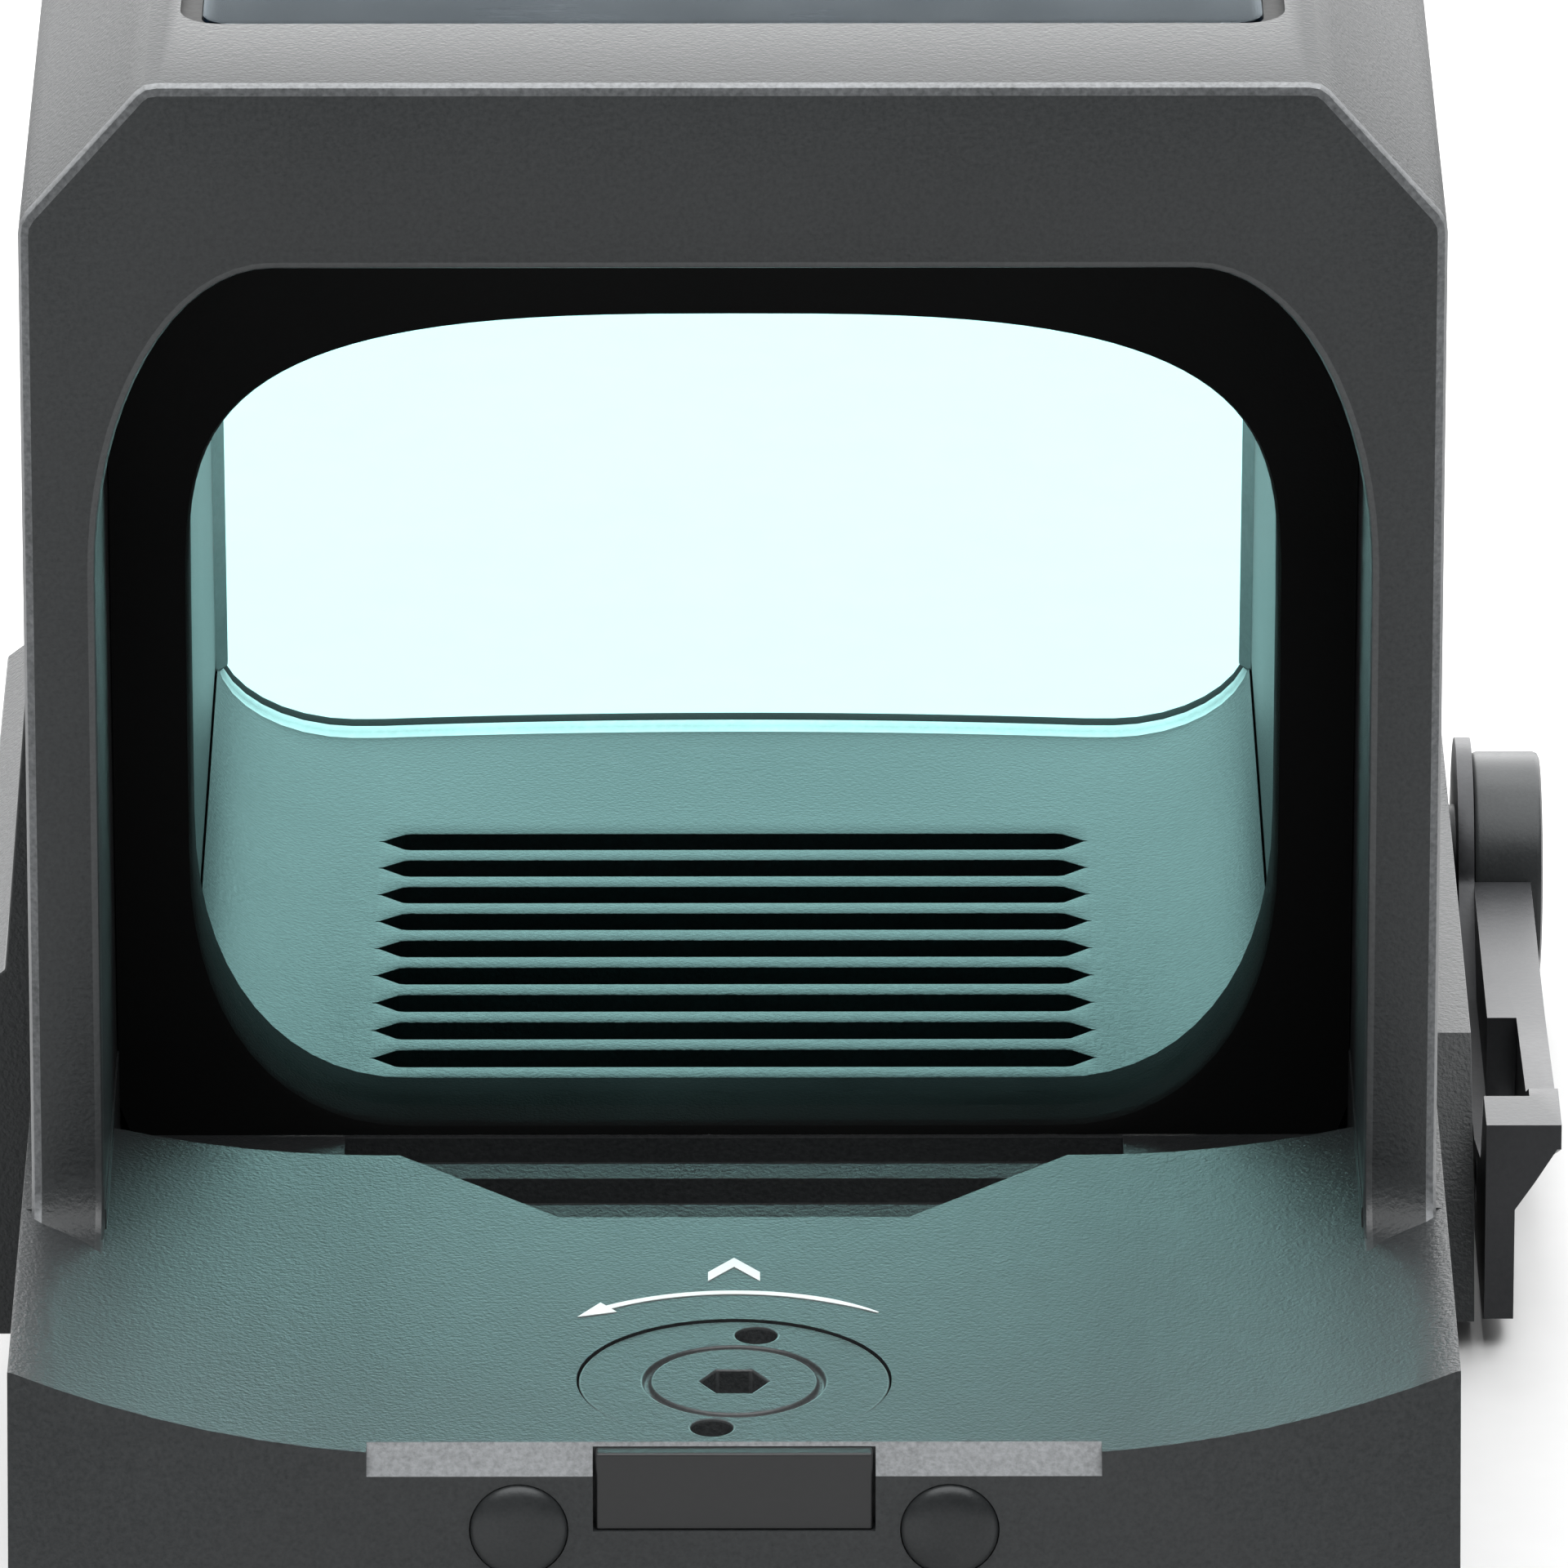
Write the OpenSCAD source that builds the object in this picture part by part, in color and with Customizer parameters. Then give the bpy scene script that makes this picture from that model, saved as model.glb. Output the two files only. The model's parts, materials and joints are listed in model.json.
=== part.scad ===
// Hooded red dot finder on a quick release rail clamp.
// +X is the user's right, +Y points at the target, +Z is up. The origin is the middle of the rail seat.

/* [Housing] */
// Width of the base across its sides
body_w = 41.2; // [41:0.1:42]
// Height of the rear deck above the rail seat
deck_z = 9.5; // [9.4:0.1:9.8]
// Height of the side rails, where the hood stands
rail_z = 11; // [10.9:0.1:11.2]
// Height of the tunnel floor
floor_z = 8.2; // [8.1:0.1:8.4]

/* [Hood] */
// Width of the hood across its sides
hood_w = 40.6; // [40.4:0.1:40.8]
// Height of the hood's roof above the rail seat
hood_z = 45.3; // [45:0.1:47]
// Width of the opening at the eye end
recess_w = 36.3; // [36:0.1:36.5]
// Height of the opening's top above the rail seat
recess_z = 39.7; // [39.5:0.1:40]

/* [Lens] */
// Width of the clear glass
lens_w = 31.8; // [31:0.1:32]
// Lean of the lens towards the eye, in degrees
lens_tilt = 6; // [4:0.5:7]

/* [Adjusters] */
// Diameter of the elevation dial
dial_d = 8.9; // [8.6:0.1:8.9]
// Diameter of the windage dial
side_dial_d = 8; // [7.6:0.1:8]
// Radial clearance of turning parts
fit = 0.05; // [0.04:0.01:0.08]

/* [Battery] */
// Diameter of the coin cell
cell_d = 20; // [19.8:0.1:20]
// Thickness of the coin cell
cell_t = 3.2; // [3:0.1:3.2]

/* [Rail clamp] */
// Width across the rail's widest points
rail_w = 21.2; // [21.1:0.1:21.3]
// Distance between the rail's cross slots
slot_pitch = 10.01; // [10:0.01:10.02]
// Diameter of the cross bolt
bolt_d = 4; // [3.8:0.1:4]
// Length of the lever from its pivot to its tip
lever_l = 27.7; // [27:0.1:28.5]

/* [Hidden] */
$fn = 64;
eps = 0.01;

// Stations along the object, from the eye end to the nose
rear_y = -40;
plate_rear_y = -20;
hood_rear_y = -25.5;
deck_end_y = -17.7;
lens_y = -11.4;
front_y = 22;
nose_y = 34;
plate_front_y = 40;

// Levels
chin_z = 0.5;
plate_t = 2.2;
nose_z = 7;

half_w = body_w / 2;
hood_half = hood_w / 2;
recess_half = recess_w / 2;
tunnel_half = recess_half - 2.05;
tunnel_z = 35.4;
hood_chamfer_x = 3.6;
hood_chamfer_z = 4.1;
foot_r = 2;
foot_z = 10.4;

// Lens, measured in the frame's own tilted plane
frame_t = 3;
aperture_z0 = 1.1;
aperture_z1 = 26.8;
lens_lip = 0.6;

// Deck
dish_half = 10.4;
dish_rise = 1.5;
dish_r = pow(half_w - dish_half, 2) / (2 * dish_rise);
deck_chamfer = 0.75;
facet_yaw = 10.5;
facet_lean = 14.5;
notch_rear_y = -22.5;
notch_rear_half = 5.1;
notch_front_half = 9.8;
ramp_half = 11.5;
ramp_drop = 12;

// Anti-glare grooves
groove_pitch = 2.1;
groove_w = 1.35;
groove_depth = 0.5;
groove_half = 10.8;
groove_y0 = -7.55;
groove_count = 10;
ramp_groove_y0 = -14.4;
ramp_groove_count = 2;

// Adjuster chamber under the deck
chamber_half = 8;
chamber_y0 = -37.2;
chamber_y1 = -23.5;
chamber_z0 = 2;
chamber_z1 = 7;
window_half = 2.6;
cover_screw_x = [-9.3, 9.3];
cover_screw_y = [-37.4, -22.8];
elevation_y = -34.7;
dial_floor_z = 8;
dial_gap = 0.15;
windage_y = -30.5;
windage_z = 4.7;
screw_r = 1.2;

// Rear face
pin_x = 6.1;
pin_z = 7.1;
pin_r = 1.41;
rear_plate_half = 4;
rear_plate_z0 = 7.05;

// Battery and boards
tray_y = 8;
tray_x = 8;
bay_z0 = 2.9;
bay_z1 = 6.9;
door_t = 1.2;
board_x0 = -17.5;
board_x1 = -6.5;
board_z = 4;

// Screws that hold the hood, at its rear and at its front
hood_screw_x = [19.2, 17.9];
hood_screw_y = [-17, 19.85];
hood_screw_r = [0.78, 0.98];
hood_screw_head_r = [1.25, 1.33];
hood_bore_top = 15;

// Side buttons
button_y = [-7.5, 5.5];
button_z = 6.9;
button_r = 3.2;
button_pocket_x = -18.9;

// Rail clamp
slot_y = 32.3;
bolt_z = -0.9;
bolt_r = bolt_d / 2;
rod_y = slot_y - 2 * slot_pitch;
rod_z = -1.55;
lug_y = slot_y - 4 * slot_pitch;
rail_apex_z = -2.74;
jaw_bottom_z = -6;
jaw_gap = 0.3;
lever_x = 23;
lever_outer_x = 25.3;
bolt_head_r = 3.7;
bolt_head_x = [23.5, 25.7];

// ---------- shared shapes ----------

// A box given by its two corners on each axis
module block(x, y, z) {
    translate([x[0], y[0], z[0]])
    cube([x[1] - x[0], y[1] - y[0], z[1] - z[0]]);
}

// A round bar along X, between x[0] and x[1]
module bar_x(x, r, y, z) {
    translate([x[0], y, z])
    rotate([0, 90, 0])
    cylinder(h = x[1] - x[0], r = r);
}

// A round bar along Y, between y[0] and y[1]
module bar_y(y, r, x, z) {
    translate([x, y[0], z])
    rotate([-90, 0, 0])
    cylinder(h = y[1] - y[0], r = r);
}

// A round bar along Z, between z[0] and z[1]
module bar_z(z, r, x, y) {
    translate([x, y, z[0]])
    cylinder(h = z[1] - z[0], r = r);
}

// An outline in X and Z carried along Y
module along_y(y) {
    translate([0, y[1], 0])
    rotate([90, 0, 0])
    linear_extrude(y[1] - y[0])
    children();
}

// An outline in Y and Z carried along X
module along_x(x) {
    translate([x[0], 0, 0])
    rotate([90, 0, 90])
    linear_extrude(x[1] - x[0])
    children();
}

module both_sides() {
    children();
    mirror([1, 0, 0])
    children();
}

// A window shape with its own corner radius at the bottom and at the top
module arch(half, z0, z1, r0, r1) {
    translate([-half + r0, z0])
    square([2 * (half - r0), r0 + eps]);
    translate([-half, z0 + r0])
    square([2 * half, z1 - r1 - z0 - r0]);
    translate([-half + r1, z1 - r1 - eps])
    square([2 * (half - r1), r1 + eps]);
    for (side = [-1, 1]) {
        translate([side * (half - r0), z0 + r0])
        circle(r = r0);
        translate([side * (half - r1), z1 - r1])
        circle(r = r1);
    }
}

// A flat slab with four round corners, centred in X
module slab(half, y, z, r) {
    block([-half + r, half - r], y, z);
    block([-half, half], [y[0] + r, y[1] - r], z);
    for (side = [-1, 1], end = [y[0] + r, y[1] - r])
        bar_z(z, r, side * (half - r), end);
}

// Points of a coil spring along Z, with its wire as an eight-sided tube
function coil_ring(a, r, wire, h, turns) = [
    for (k = [0:7])
        [
            (r + wire * cos(45 * k)) * cos(a),
            (r + wire * cos(45 * k)) * sin(a),
            wire + wire * sin(45 * k) + (h - 2 * wire) * a / (360 * turns)
        ]
];

module coil(r, wire, h, turns) {
    steps = 16 * turns;
    points = [for (i = [0:steps]) each coil_ring(360 * turns * i / steps, r, wire, h, turns)];
    sides = [
        for (i = [0:steps - 1], k = [0:7])
            [8 * i + k, 8 * i + (k + 1) % 8, 8 * (i + 1) + (k + 1) % 8, 8 * (i + 1) + k]
    ];
    start_cap = [[for (k = [7:-1:0]) k]];
    end_cap = [[for (k = [0:7]) 8 * steps + k]];
    polyhedron(points, concat(sides, start_cap, end_cap));
}

// A socket screw along +Z from its head's face at z0
module screw_z(x, y, z0, head_r, head_h, shank_r, shank_l, socket_r) {
    difference() {
        union() {
            bar_z([z0, z0 + head_h], head_r, x, y);
            bar_z([z0, z0 + head_h + shank_l], shank_r, x, y);
        }
        bar_z_hex([z0 - eps, z0 + head_h * 0.6], socket_r, x, y);
    }
}

module bar_z_hex(z, r, x, y) {
    translate([x, y, z[0]])
    cylinder(h = z[1] - z[0], r = r, $fn = 6);
}

// Moves children into the lens frame's tilted plane
module lens_plane() {
    translate([0, lens_y, floor_z])
    rotate([lens_tilt, 0, 0])
    children();
}

// ---------- base ----------

module deck_dish() {
    along_y([rear_y - 1, deck_end_y]) {
        translate([-dish_half, deck_z])
        square([2 * dish_half, 20]);
        for (side = [-1, 1])
            intersection() {
                translate([side * dish_half, deck_z + dish_r])
                circle(r = dish_r, $fn = 256);
                translate([side > 0 ? dish_half : -half_w - 1, 0])
                square([half_w + 1 - dish_half, 20]);
            }
    }
}

module hood_pads() {
    for (side = [0, 1])
        mirror([side, 0, 0])
        block([recess_half, half_w], [hood_rear_y, front_y], [floor_z, rail_z]);
}

module corner_facets() {
    both_sides()
    translate([dish_half, rear_y, deck_z])
    rotate([0, 0, facet_yaw])
    rotate([-facet_lean, 0, 0])
    block([-30, 30], [-20, 0], [-30, 30]);
}

module rear_edge_chamfer() {
    translate([0, rear_y, deck_z])
    rotate([45, 0, 0])
    cube([2 * dish_half, deck_chamfer * sqrt(2), deck_chamfer * sqrt(2)], center = true);
}

// The light well between the deck and the lens, with its floor falling to the rear
module light_well() {
    run = frame_rear_y() - notch_rear_y;
    fall = run * tan(ramp_drop);
    intersection() {
        along_x([-ramp_half, ramp_half])
        polygon([
            [frame_rear_y(), floor_z], [notch_rear_y, floor_z - fall], [notch_rear_y, 20],
            [frame_rear_y(), 20]
        ]);
        union() {
            block([-ramp_half, ramp_half], [deck_end_y, frame_rear_y()], [0, 20]);
            linear_extrude(20)
            polygon([
                [-notch_rear_half, notch_rear_y], [notch_rear_half, notch_rear_y],
                [notch_front_half, deck_end_y + eps], [-notch_front_half, deck_end_y + eps]
            ]);
        }
    }
}

function frame_rear_y() = lens_y - frame_t / 2;

module grooves() {
    for (i = [0:groove_count - 1])
        translate([0, groove_y0 + i * groove_pitch, 0])
        block([-groove_half, groove_half], [0, groove_w], [floor_z - groove_depth, floor_z + 1]);
    for (i = [0:ramp_groove_count - 1]) {
        y = ramp_groove_y0 - i * groove_pitch;
        z = floor_z - (frame_rear_y() - y) * tan(ramp_drop) - groove_depth;
        block([-ramp_half, ramp_half], [y, y + groove_w], [z, floor_z + 1]);
    }
}

module tunnel_bed() {
    block([-recess_half, recess_half], [deck_end_y, frame_rear_y() + frame_t], [floor_z, 20]);
    block([-tunnel_half, tunnel_half], [lens_y, front_y + 1], [floor_z, 20]);
}

module adjuster_chamber() {
    block([-chamber_half, chamber_half], [chamber_y0, chamber_y1], [chin_z - 1, chamber_z1]);
    block([-chamber_half, chamber_half], [-29.9, chamber_y1], [chamber_z0, chamber_z1 + 0.9]);
    block([-10.5, 10.5], [-38.6, -21.6], [chin_z - 1, chamber_z0]);
    for (x = cover_screw_x, y = cover_screw_y)
        bar_z([chamber_z0 - eps, 5], 0.7, x, y);
    block([-window_half, window_half], [chamber_y1 - eps, notch_rear_y + eps], [6.3, 7.8]);
    block([-3.4, 3.4], [notch_rear_y - 0.4, notch_rear_y + eps], [6.1, 8.2]);
}

module adjuster_bores() {
    bar_z([chamber_z1 - 1, deck_z], screw_r + fit, 0, elevation_y);
    bar_z([dial_floor_z, deck_z + 1], dial_d / 2 + fit, 0, elevation_y);
    difference() {
        bar_z([dial_floor_z - 0.5, dial_floor_z + eps], 3.4, 0, elevation_y);
        bar_z([dial_floor_z - 1, dial_floor_z + 1], 2.9, 0, elevation_y);
    }
    bar_x([chamber_half - 1, half_w], screw_r + fit, windage_y, windage_z);
    bar_x([half_w - 1.5, half_w + 1], side_dial_d / 2 + fit, windage_y, windage_z);
    difference() {
        bar_x([half_w - 2, half_w - 1.5 + eps], 3.4, windage_y, windage_z);
        bar_x([half_w - 3, half_w], 2.9, windage_y, windage_z);
    }
}

module battery_bay() {
    block([tray_x - 13, half_w + 1], [tray_y - 10.6, tray_y + 10.6], [bay_z0, bay_z1]);
    block([half_w - door_t - 0.1, half_w + 1], [-7.3, 19.7], [2.6, 7.3]);
    bar_x([13, half_w], 1, -5, 4.9);
    block([-18, -6], [-10, 17], [plate_t - 1, bay_z1]);
    block([-6.1, -4.9], [6.5, 9.5], [4.8, bay_z1]);
    block([-7.9, -6.4], [chamber_y1 - eps, -9.9], [3.4, 4.2]);
}

module button_pocket() {
    block([-half_w - 1, button_pocket_x], [-13, 11], [3, 10.75]);
    block([button_pocket_x - eps, -17.9], [-2, 0], [4.4, 5.6]);
}

module hood_screw_bores() {
    for (side = [-1, 1], i = [0, 1])
        bar_z([plate_t - 1, hood_bore_top], hood_screw_r[i] + 0.02, side * hood_screw_x[i],
            hood_screw_y[i]);
}

module hood_screw_head_bores() {
    for (side = [-1, 1], i = [0, 1])
        bar_z([plate_t - 1, plate_t + 1.5], hood_screw_head_r[i] + fit, side * hood_screw_x[i],
            hood_screw_y[i]);
}

module mount_screw_sites() {
    for (x = [-13, 13], y = [-16.5, 20.4])
        translate([x, y, 0])
        children();
}

module nose() {
    along_x([-half_w, half_w])
    polygon([[front_y - 1, plate_t], [nose_y, plate_t], [nose_y, plate_t + 0.2], [front_y, nose_z],
        [front_y - 1, nose_z]]);
}

module base_body() {
    color("#3e4243")
    difference() {
        union() {
            block([-half_w, half_w], [rear_y, plate_rear_y], [chin_z, rail_z]);
            block([-half_w, half_w], [plate_rear_y - 1, front_y], [plate_t, rail_z]);
            nose();
        }
        difference() {
            deck_dish();
            hood_pads();
        }
        corner_facets();
        rear_edge_chamfer();
        light_well();
        tunnel_bed();
        grooves();
        adjuster_chamber();
        adjuster_bores();
        battery_bay();
        button_pocket();
        hood_screw_bores();
        hood_screw_head_bores();
        for (side = [-1, 1])
            bar_y([rear_y - 1, -37.6], pin_r, side * pin_x, pin_z);
        mount_screw_sites()
        cylinder(h = 6.8, r = 1.25);
        block([-rear_plate_half, rear_plate_half], [rear_y - 1, rear_y + 0.65],
            [rear_plate_z0, deck_z + 1]);
    }
}

// ---------- hood ----------

module hood_outline() {
    polygon([
        [-hood_half, rail_z], [hood_half, rail_z], [hood_half, hood_z - hood_chamfer_z],
        [hood_half - hood_chamfer_x, hood_z], [-hood_half + hood_chamfer_x, hood_z],
        [-hood_half, hood_z - hood_chamfer_z]
    ]);
}

module recess_outline(gap) {
    arch(recess_half - gap, floor_z, recess_z - gap, 0.5, 6.5);
}

module tunnel_outline() {
    arch(tunnel_half, floor_z - 5, tunnel_z, 0.5, 6);
}

module recess_cut() {
    intersection() {
        along_y([hood_rear_y - 5, 0])
        recess_outline(0);
        lens_plane()
        block([-30, 30], [-40, frame_t / 2], [-6, 50]);
    }
}

// Concave feet that run the hood's rear face out onto the deck
module hood_feet() {
    both_sides()
    difference() {
        union() {
            intersection() {
                block([recess_half, hood_half], [hood_rear_y - foot_r, hood_rear_y], [floor_z, rail_z]);
                deck_dish();
            }
            block([recess_half, hood_half], [hood_rear_y - foot_r, hood_rear_y + eps],
                [rail_z - eps, foot_z + foot_r]);
        }
        bar_x([0, 30], foot_r, hood_rear_y - foot_r, foot_z + foot_r);
    }
}

module hood() {
    color("#4a4e4f")
    difference() {
        union() {
            along_y([hood_rear_y, front_y])
            hood_outline();
            hood_feet();
        }
        recess_cut();
        along_y([-20, front_y + 1])
        intersection() {
            tunnel_outline();
            translate([-30, 0])
            square([60, 60]);
        }
        along_x([-30, 30])
        polygon([[front_y, rail_z], [front_y + 9, rail_z], [front_y + 9, 60], [front_y - 10.5, 60]]);
        slab(15.8, [-20, 4.2], [hood_z - 1.5, hood_z + 1], 1.2);
        hood_screw_bores();
    }
}

module hood_screws() {
    color("#2b2b2d")
    for (side = [-1, 1], i = [0, 1])
        screw_z(side * hood_screw_x[i], hood_screw_y[i], plate_t + 0.1, hood_screw_head_r[i], 1.3,
            hood_screw_r[i], hood_bore_top - plate_t - 1.6, 0.7);
}

module lens_frame() {
    color("#141618")
    difference() {
        intersection() {
            along_y([hood_rear_y, 0])
            recess_outline(0.03);
            lens_plane()
            block([-30, 30], [-frame_t / 2, frame_t / 2], [-6, 50]);
        }
        lens_plane() {
            along_y([-3, 3])
            arch(lens_w / 2, aperture_z0, aperture_z1, 5, 6);
            along_y([-frame_t / 2 + 0.9, 3])
            arch(lens_w / 2 + lens_lip, aperture_z0 - lens_lip, aperture_z1 + lens_lip, 5.5, 6.5);
        }
    }
}

module lens_element(y) {
    lens_plane()
    along_y(y)
    arch(lens_w / 2 + lens_lip, aperture_z0 - lens_lip, aperture_z1 + lens_lip, 5.5, 6.5);
}

module lens_rear_element() {
    color("#cfeeee", 0.5)
    lens_element([-0.3, 0.6]);
}

module lens_front_element() {
    color("#d8f4f4", 0.5)
    lens_element([0.6, frame_t / 2]);
}

module lens_seal() {
    color("#101010")
    lens_plane()
    along_y([-frame_t / 2 + 0.9, -0.3])
    difference() {
        arch(lens_w / 2 + lens_lip, aperture_z0 - lens_lip, aperture_z1 + lens_lip, 5.5, 6.5);
        arch(lens_w / 2 + 0.05, aperture_z0 - 0.05, aperture_z1 + 0.05, 5, 6);
    }
}

module solar_gasket() {
    color("#1b1c1d")
    difference() {
        slab(15.8, [-20, 4.2], [hood_z - 1.5, hood_z - 0.3], 1.2);
        slab(15.2, [-19.4, 3.6], [hood_z - 2, hood_z + 1], 0.8);
    }
}

module solar_cell() {
    color("#3a4a5c")
    slab(15.2, [-19.4, 3.6], [hood_z - 1.5, hood_z - 1], 0.8);
}

module solar_window() {
    color("#9aa4aa", 0.6)
    slab(15.2, [-19.4, 3.6], [hood_z - 1, hood_z - 0.2], 0.8);
}

// ---------- adjusters ----------

// A slotless dial seen from its face: a ring line, a hex socket and two spanner holes
module dial(d, t) {
    difference() {
        cylinder(h = t, d = d);
        difference() {
            translate([0, 0, t - 0.15])
            cylinder(h = 1, r = 2.6);
            translate([0, 0, t - 0.5])
            cylinder(h = 1, r = 2.4);
        }
        translate([0, 0, t - 1])
        cylinder(h = 2, r = 0.98, $fn = 6);
        for (side = [-1, 1])
            rotate([0, 0, 79.4])
            translate([side * 3.45, 0, t - 0.7])
            cylinder(h = 1, r = 0.6);
    }
}

module retained_screw(l, clip_at) {
    cylinder(h = l, r = screw_r);
    translate([0, 0, clip_at])
    cylinder(h = 0.4, r = 1.8);
}

module elevation_dial() {
    color("#585c5d")
    translate([0, elevation_y, dial_floor_z + dial_gap])
    dial(dial_d, deck_z - dial_floor_z - dial_gap - 0.05);
}

module elevation_screw() {
    color("#8d8f90")
    translate([0, elevation_y, dial_floor_z + dial_gap])
    mirror([0, 0, 1])
    retained_screw(5.2, 1.3);
}

module seal_ring() {
    difference() {
        cylinder(h = 0.5, r = 3.4);
        translate([0, 0, -1])
        cylinder(h = 3, r = 2.9);
    }
}

module elevation_seal() {
    color("#151515")
    translate([0, elevation_y, dial_floor_z - 0.5])
    seal_ring();
}

module windage_dial() {
    color("#585c5d")
    translate([half_w - 1.35, windage_y, windage_z])
    rotate([0, 90, 0])
    dial(side_dial_d, 1.3);
}

module windage_screw() {
    color("#8d8f90")
    translate([half_w - 1.35, windage_y, windage_z])
    rotate([0, -90, 0])
    retained_screw(half_w - 1.35 - 5.2, half_w - 1.35 - chamber_half + 0.1);
}

module windage_seal() {
    color("#151515")
    translate([half_w - 2, windage_y, windage_z])
    rotate([0, 90, 0])
    seal_ring();
}

module carriage_frame() {
    color("#a9a08a")
    difference() {
        block([-6.5, 6.5], [-36.8, -24], [2.6, 6.3]);
        block([-4.5, 4.5], [-36.2, -24.6], [2, 7]);
        bar_x([4, 7], screw_r + fit, windage_y, windage_z);
    }
}

module emitter_block() {
    color("#b58b3c")
    difference() {
        union() {
            block([-4.2, 4.2], [-35.9 - eps, -24.9], [2.9, 5.3]);
            block([-2, 2], [-27, -25.1], [5.3 - eps, 7.4]);
        }
        block([-1.8, 1.8], [elevation_y - screw_r - fit, elevation_y + screw_r + fit], [2, 6]);
    }
}

module emitter_led() {
    color("#d04030")
    block([-0.8, 0.8], [-25.1, -24.7], [6.6, 7.3]);
}

module emitter_window() {
    color("#c8d8d8", 0.5)
    block([-3.4, 3.4], [notch_rear_y - 0.4, notch_rear_y], [6.1, 8.2]);
}

module windage_spring() {
    color("#9a9a9a")
    translate([-chamber_half, windage_y, windage_z])
    rotate([0, 90, 0])
    coil(1, 0.14, chamber_half - 6.5, 3);
}

module elevation_spring() {
    color("#9a9a9a")
    translate([0, windage_y, chamber_z0])
    coil(1.4, 0.13, 0.9, 2);
}

module chamber_cover() {
    color("#35383a")
    difference() {
        block([-10.4, 10.4], [-38.5, -21.7], [chin_z, chamber_z0]);
        for (x = cover_screw_x, y = cover_screw_y) {
            bar_z([0, 3], 0.75, x, y);
            bar_z([0, chin_z + 0.7], 1.1, x, y);
        }
        for (x = cover_screw_x, y = cover_screw_y)
            block([x < 0 ? -11 : 9.3, x < 0 ? -9.3 : 11], [y - 0.75, y + 0.75], [0, chin_z + 0.7]);
    }
}

module cover_screws() {
    color("#2b2b2d")
    for (x = cover_screw_x, y = cover_screw_y)
        screw_z(x, y, chin_z + 0.05, 1.05, 0.6, 0.68, 3.4, 0.5);
}

module rear_plate() {
    color("#1d1f20")
    block([-rear_plate_half + 0.08, rear_plate_half - 0.08], [rear_y + 0.1, rear_y + 0.65],
        [rear_plate_z0, deck_z - 0.1]);
}

module dowel_pins() {
    color("#6a6e70")
    for (x = [-pin_x, pin_x])
        bar_y([rear_y, -37.7], pin_r, x, pin_z);
}

// ---------- buttons ----------

module button_bezel() {
    color("#34373a")
    difference() {
        along_y([-15, 13])
        polygon([
            [-half_w, 2.7], [-21.9, 2.7], [-22.3, 3.2], [-22.3, 13.6], [-21.4, 14.3],
            [-hood_half, 27.5], [-hood_half, rail_z + 0.02], [-half_w, rail_z + 0.02]
        ]);
        for (y = button_y)
            bar_x([-30, -20], button_r + fit, y, button_z);
    }
}

module button(y) {
    difference() {
        union() {
            bar_x([-22.8, -20.1], button_r, y, button_z);
            bar_x([-20.5, -20.1], button_r + 0.35, y, button_z);
        }
        block([-23, -22.6], [y - 1.7, y + 1.7], [button_z - 0.35, button_z + 0.35]);
    }
}

module button_plus() {
    color("#202224")
    difference() {
        button(button_y[1]);
        block([-23, -22.6], [button_y[1] - 0.35, button_y[1] + 0.35],
            [button_z - 1.7, button_z + 1.7]);
    }
}

module button_minus() {
    color("#202224")
    button(button_y[0]);
}

module switch_board() {
    color("#1f6b3a")
    block([button_pocket_x - 0.3, button_pocket_x], [-12.8, 10.8], [3.1, 10.6]);
}

module switch_domes() {
    color("#c9c9c4")
    for (y = button_y)
        bar_x([button_pocket_x - 0.7, button_pocket_x - 0.3], 1.8, y, button_z);
}

// ---------- electronics ----------

module circuit_board() {
    color("#1f6b3a")
    block([board_x0, board_x1], [-9.5, 16.5], [board_z, board_z + 0.8]);
}

module board_parts() {
    color("#202020")
    union() {
        block([-15, -11], [2, 6], [board_z + 0.8, board_z + 1.6]);
        block([-14, -12], [-6, -3], [board_z + 0.8, board_z + 1.4]);
        block([-16.5, -14.5], [10, 13], [board_z + 0.8, board_z + 1.8]);
        block([-11, -9.4], [9.8, 10.6], [board_z + 0.8, board_z + 1.3]);
    }
}

module flex_cable() {
    color("#b5793a")
    block([-7.8, -7], [-27, -8.6], [board_z - 0.15, board_z]);
}

module battery_contact() {
    color("#c9b26a")
    union() {
        block([-7, -6.7], [7, 9], [board_z + 0.8, 6.86]);
        block([-6.7, 3], [7, 9], [6.72, 6.86]);
    }
}

module battery_tray() {
    color("#2a2c2e")
    difference() {
        union() {
            block([tray_x - 12.3, half_w - door_t], [tray_y - 10.4, tray_y + 10.4], [3, 5.6]);
            block([half_w - door_t, half_w], [-7.2, 19.6], [2.7, 7.2]);
        }
        bar_z([3.4, 7], cell_d / 2 + 0.1, tray_x, tray_y);
        bar_x([half_w - 2, half_w + 1], 0.97, -5, 4.9);
        bar_x([half_w - 0.6, half_w + 1], 1.8, -5, 4.9);
        block([half_w - 0.4, half_w + 1], [3, 13], [2, 3.3]);
    }
}

module battery() {
    color("#c6c8c9")
    bar_z([3.42, 3.42 + cell_t], cell_d / 2, tray_x, tray_y);
}

module tray_seal() {
    color("#151515")
    difference() {
        block([half_w - door_t - 0.1, half_w - door_t], [-3.6, 19.6], [2.7, 7.2]);
        block([0, 30], [tray_y - 10.5, tray_y + 10.5], [2.95, 6.85]);
    }
}

module tray_screw() {
    color("#4a4c4e")
    difference() {
        union() {
            bar_x([half_w - 0.55, half_w - 0.05], 1.7, -5, 4.9);
            bar_x([14, half_w - 0.5], 0.95, -5, 4.9);
        }
        block([half_w - 0.35, half_w + 1], [-7, -3], [4.65, 5.15]);
    }
}

// ---------- rail clamp ----------

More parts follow.
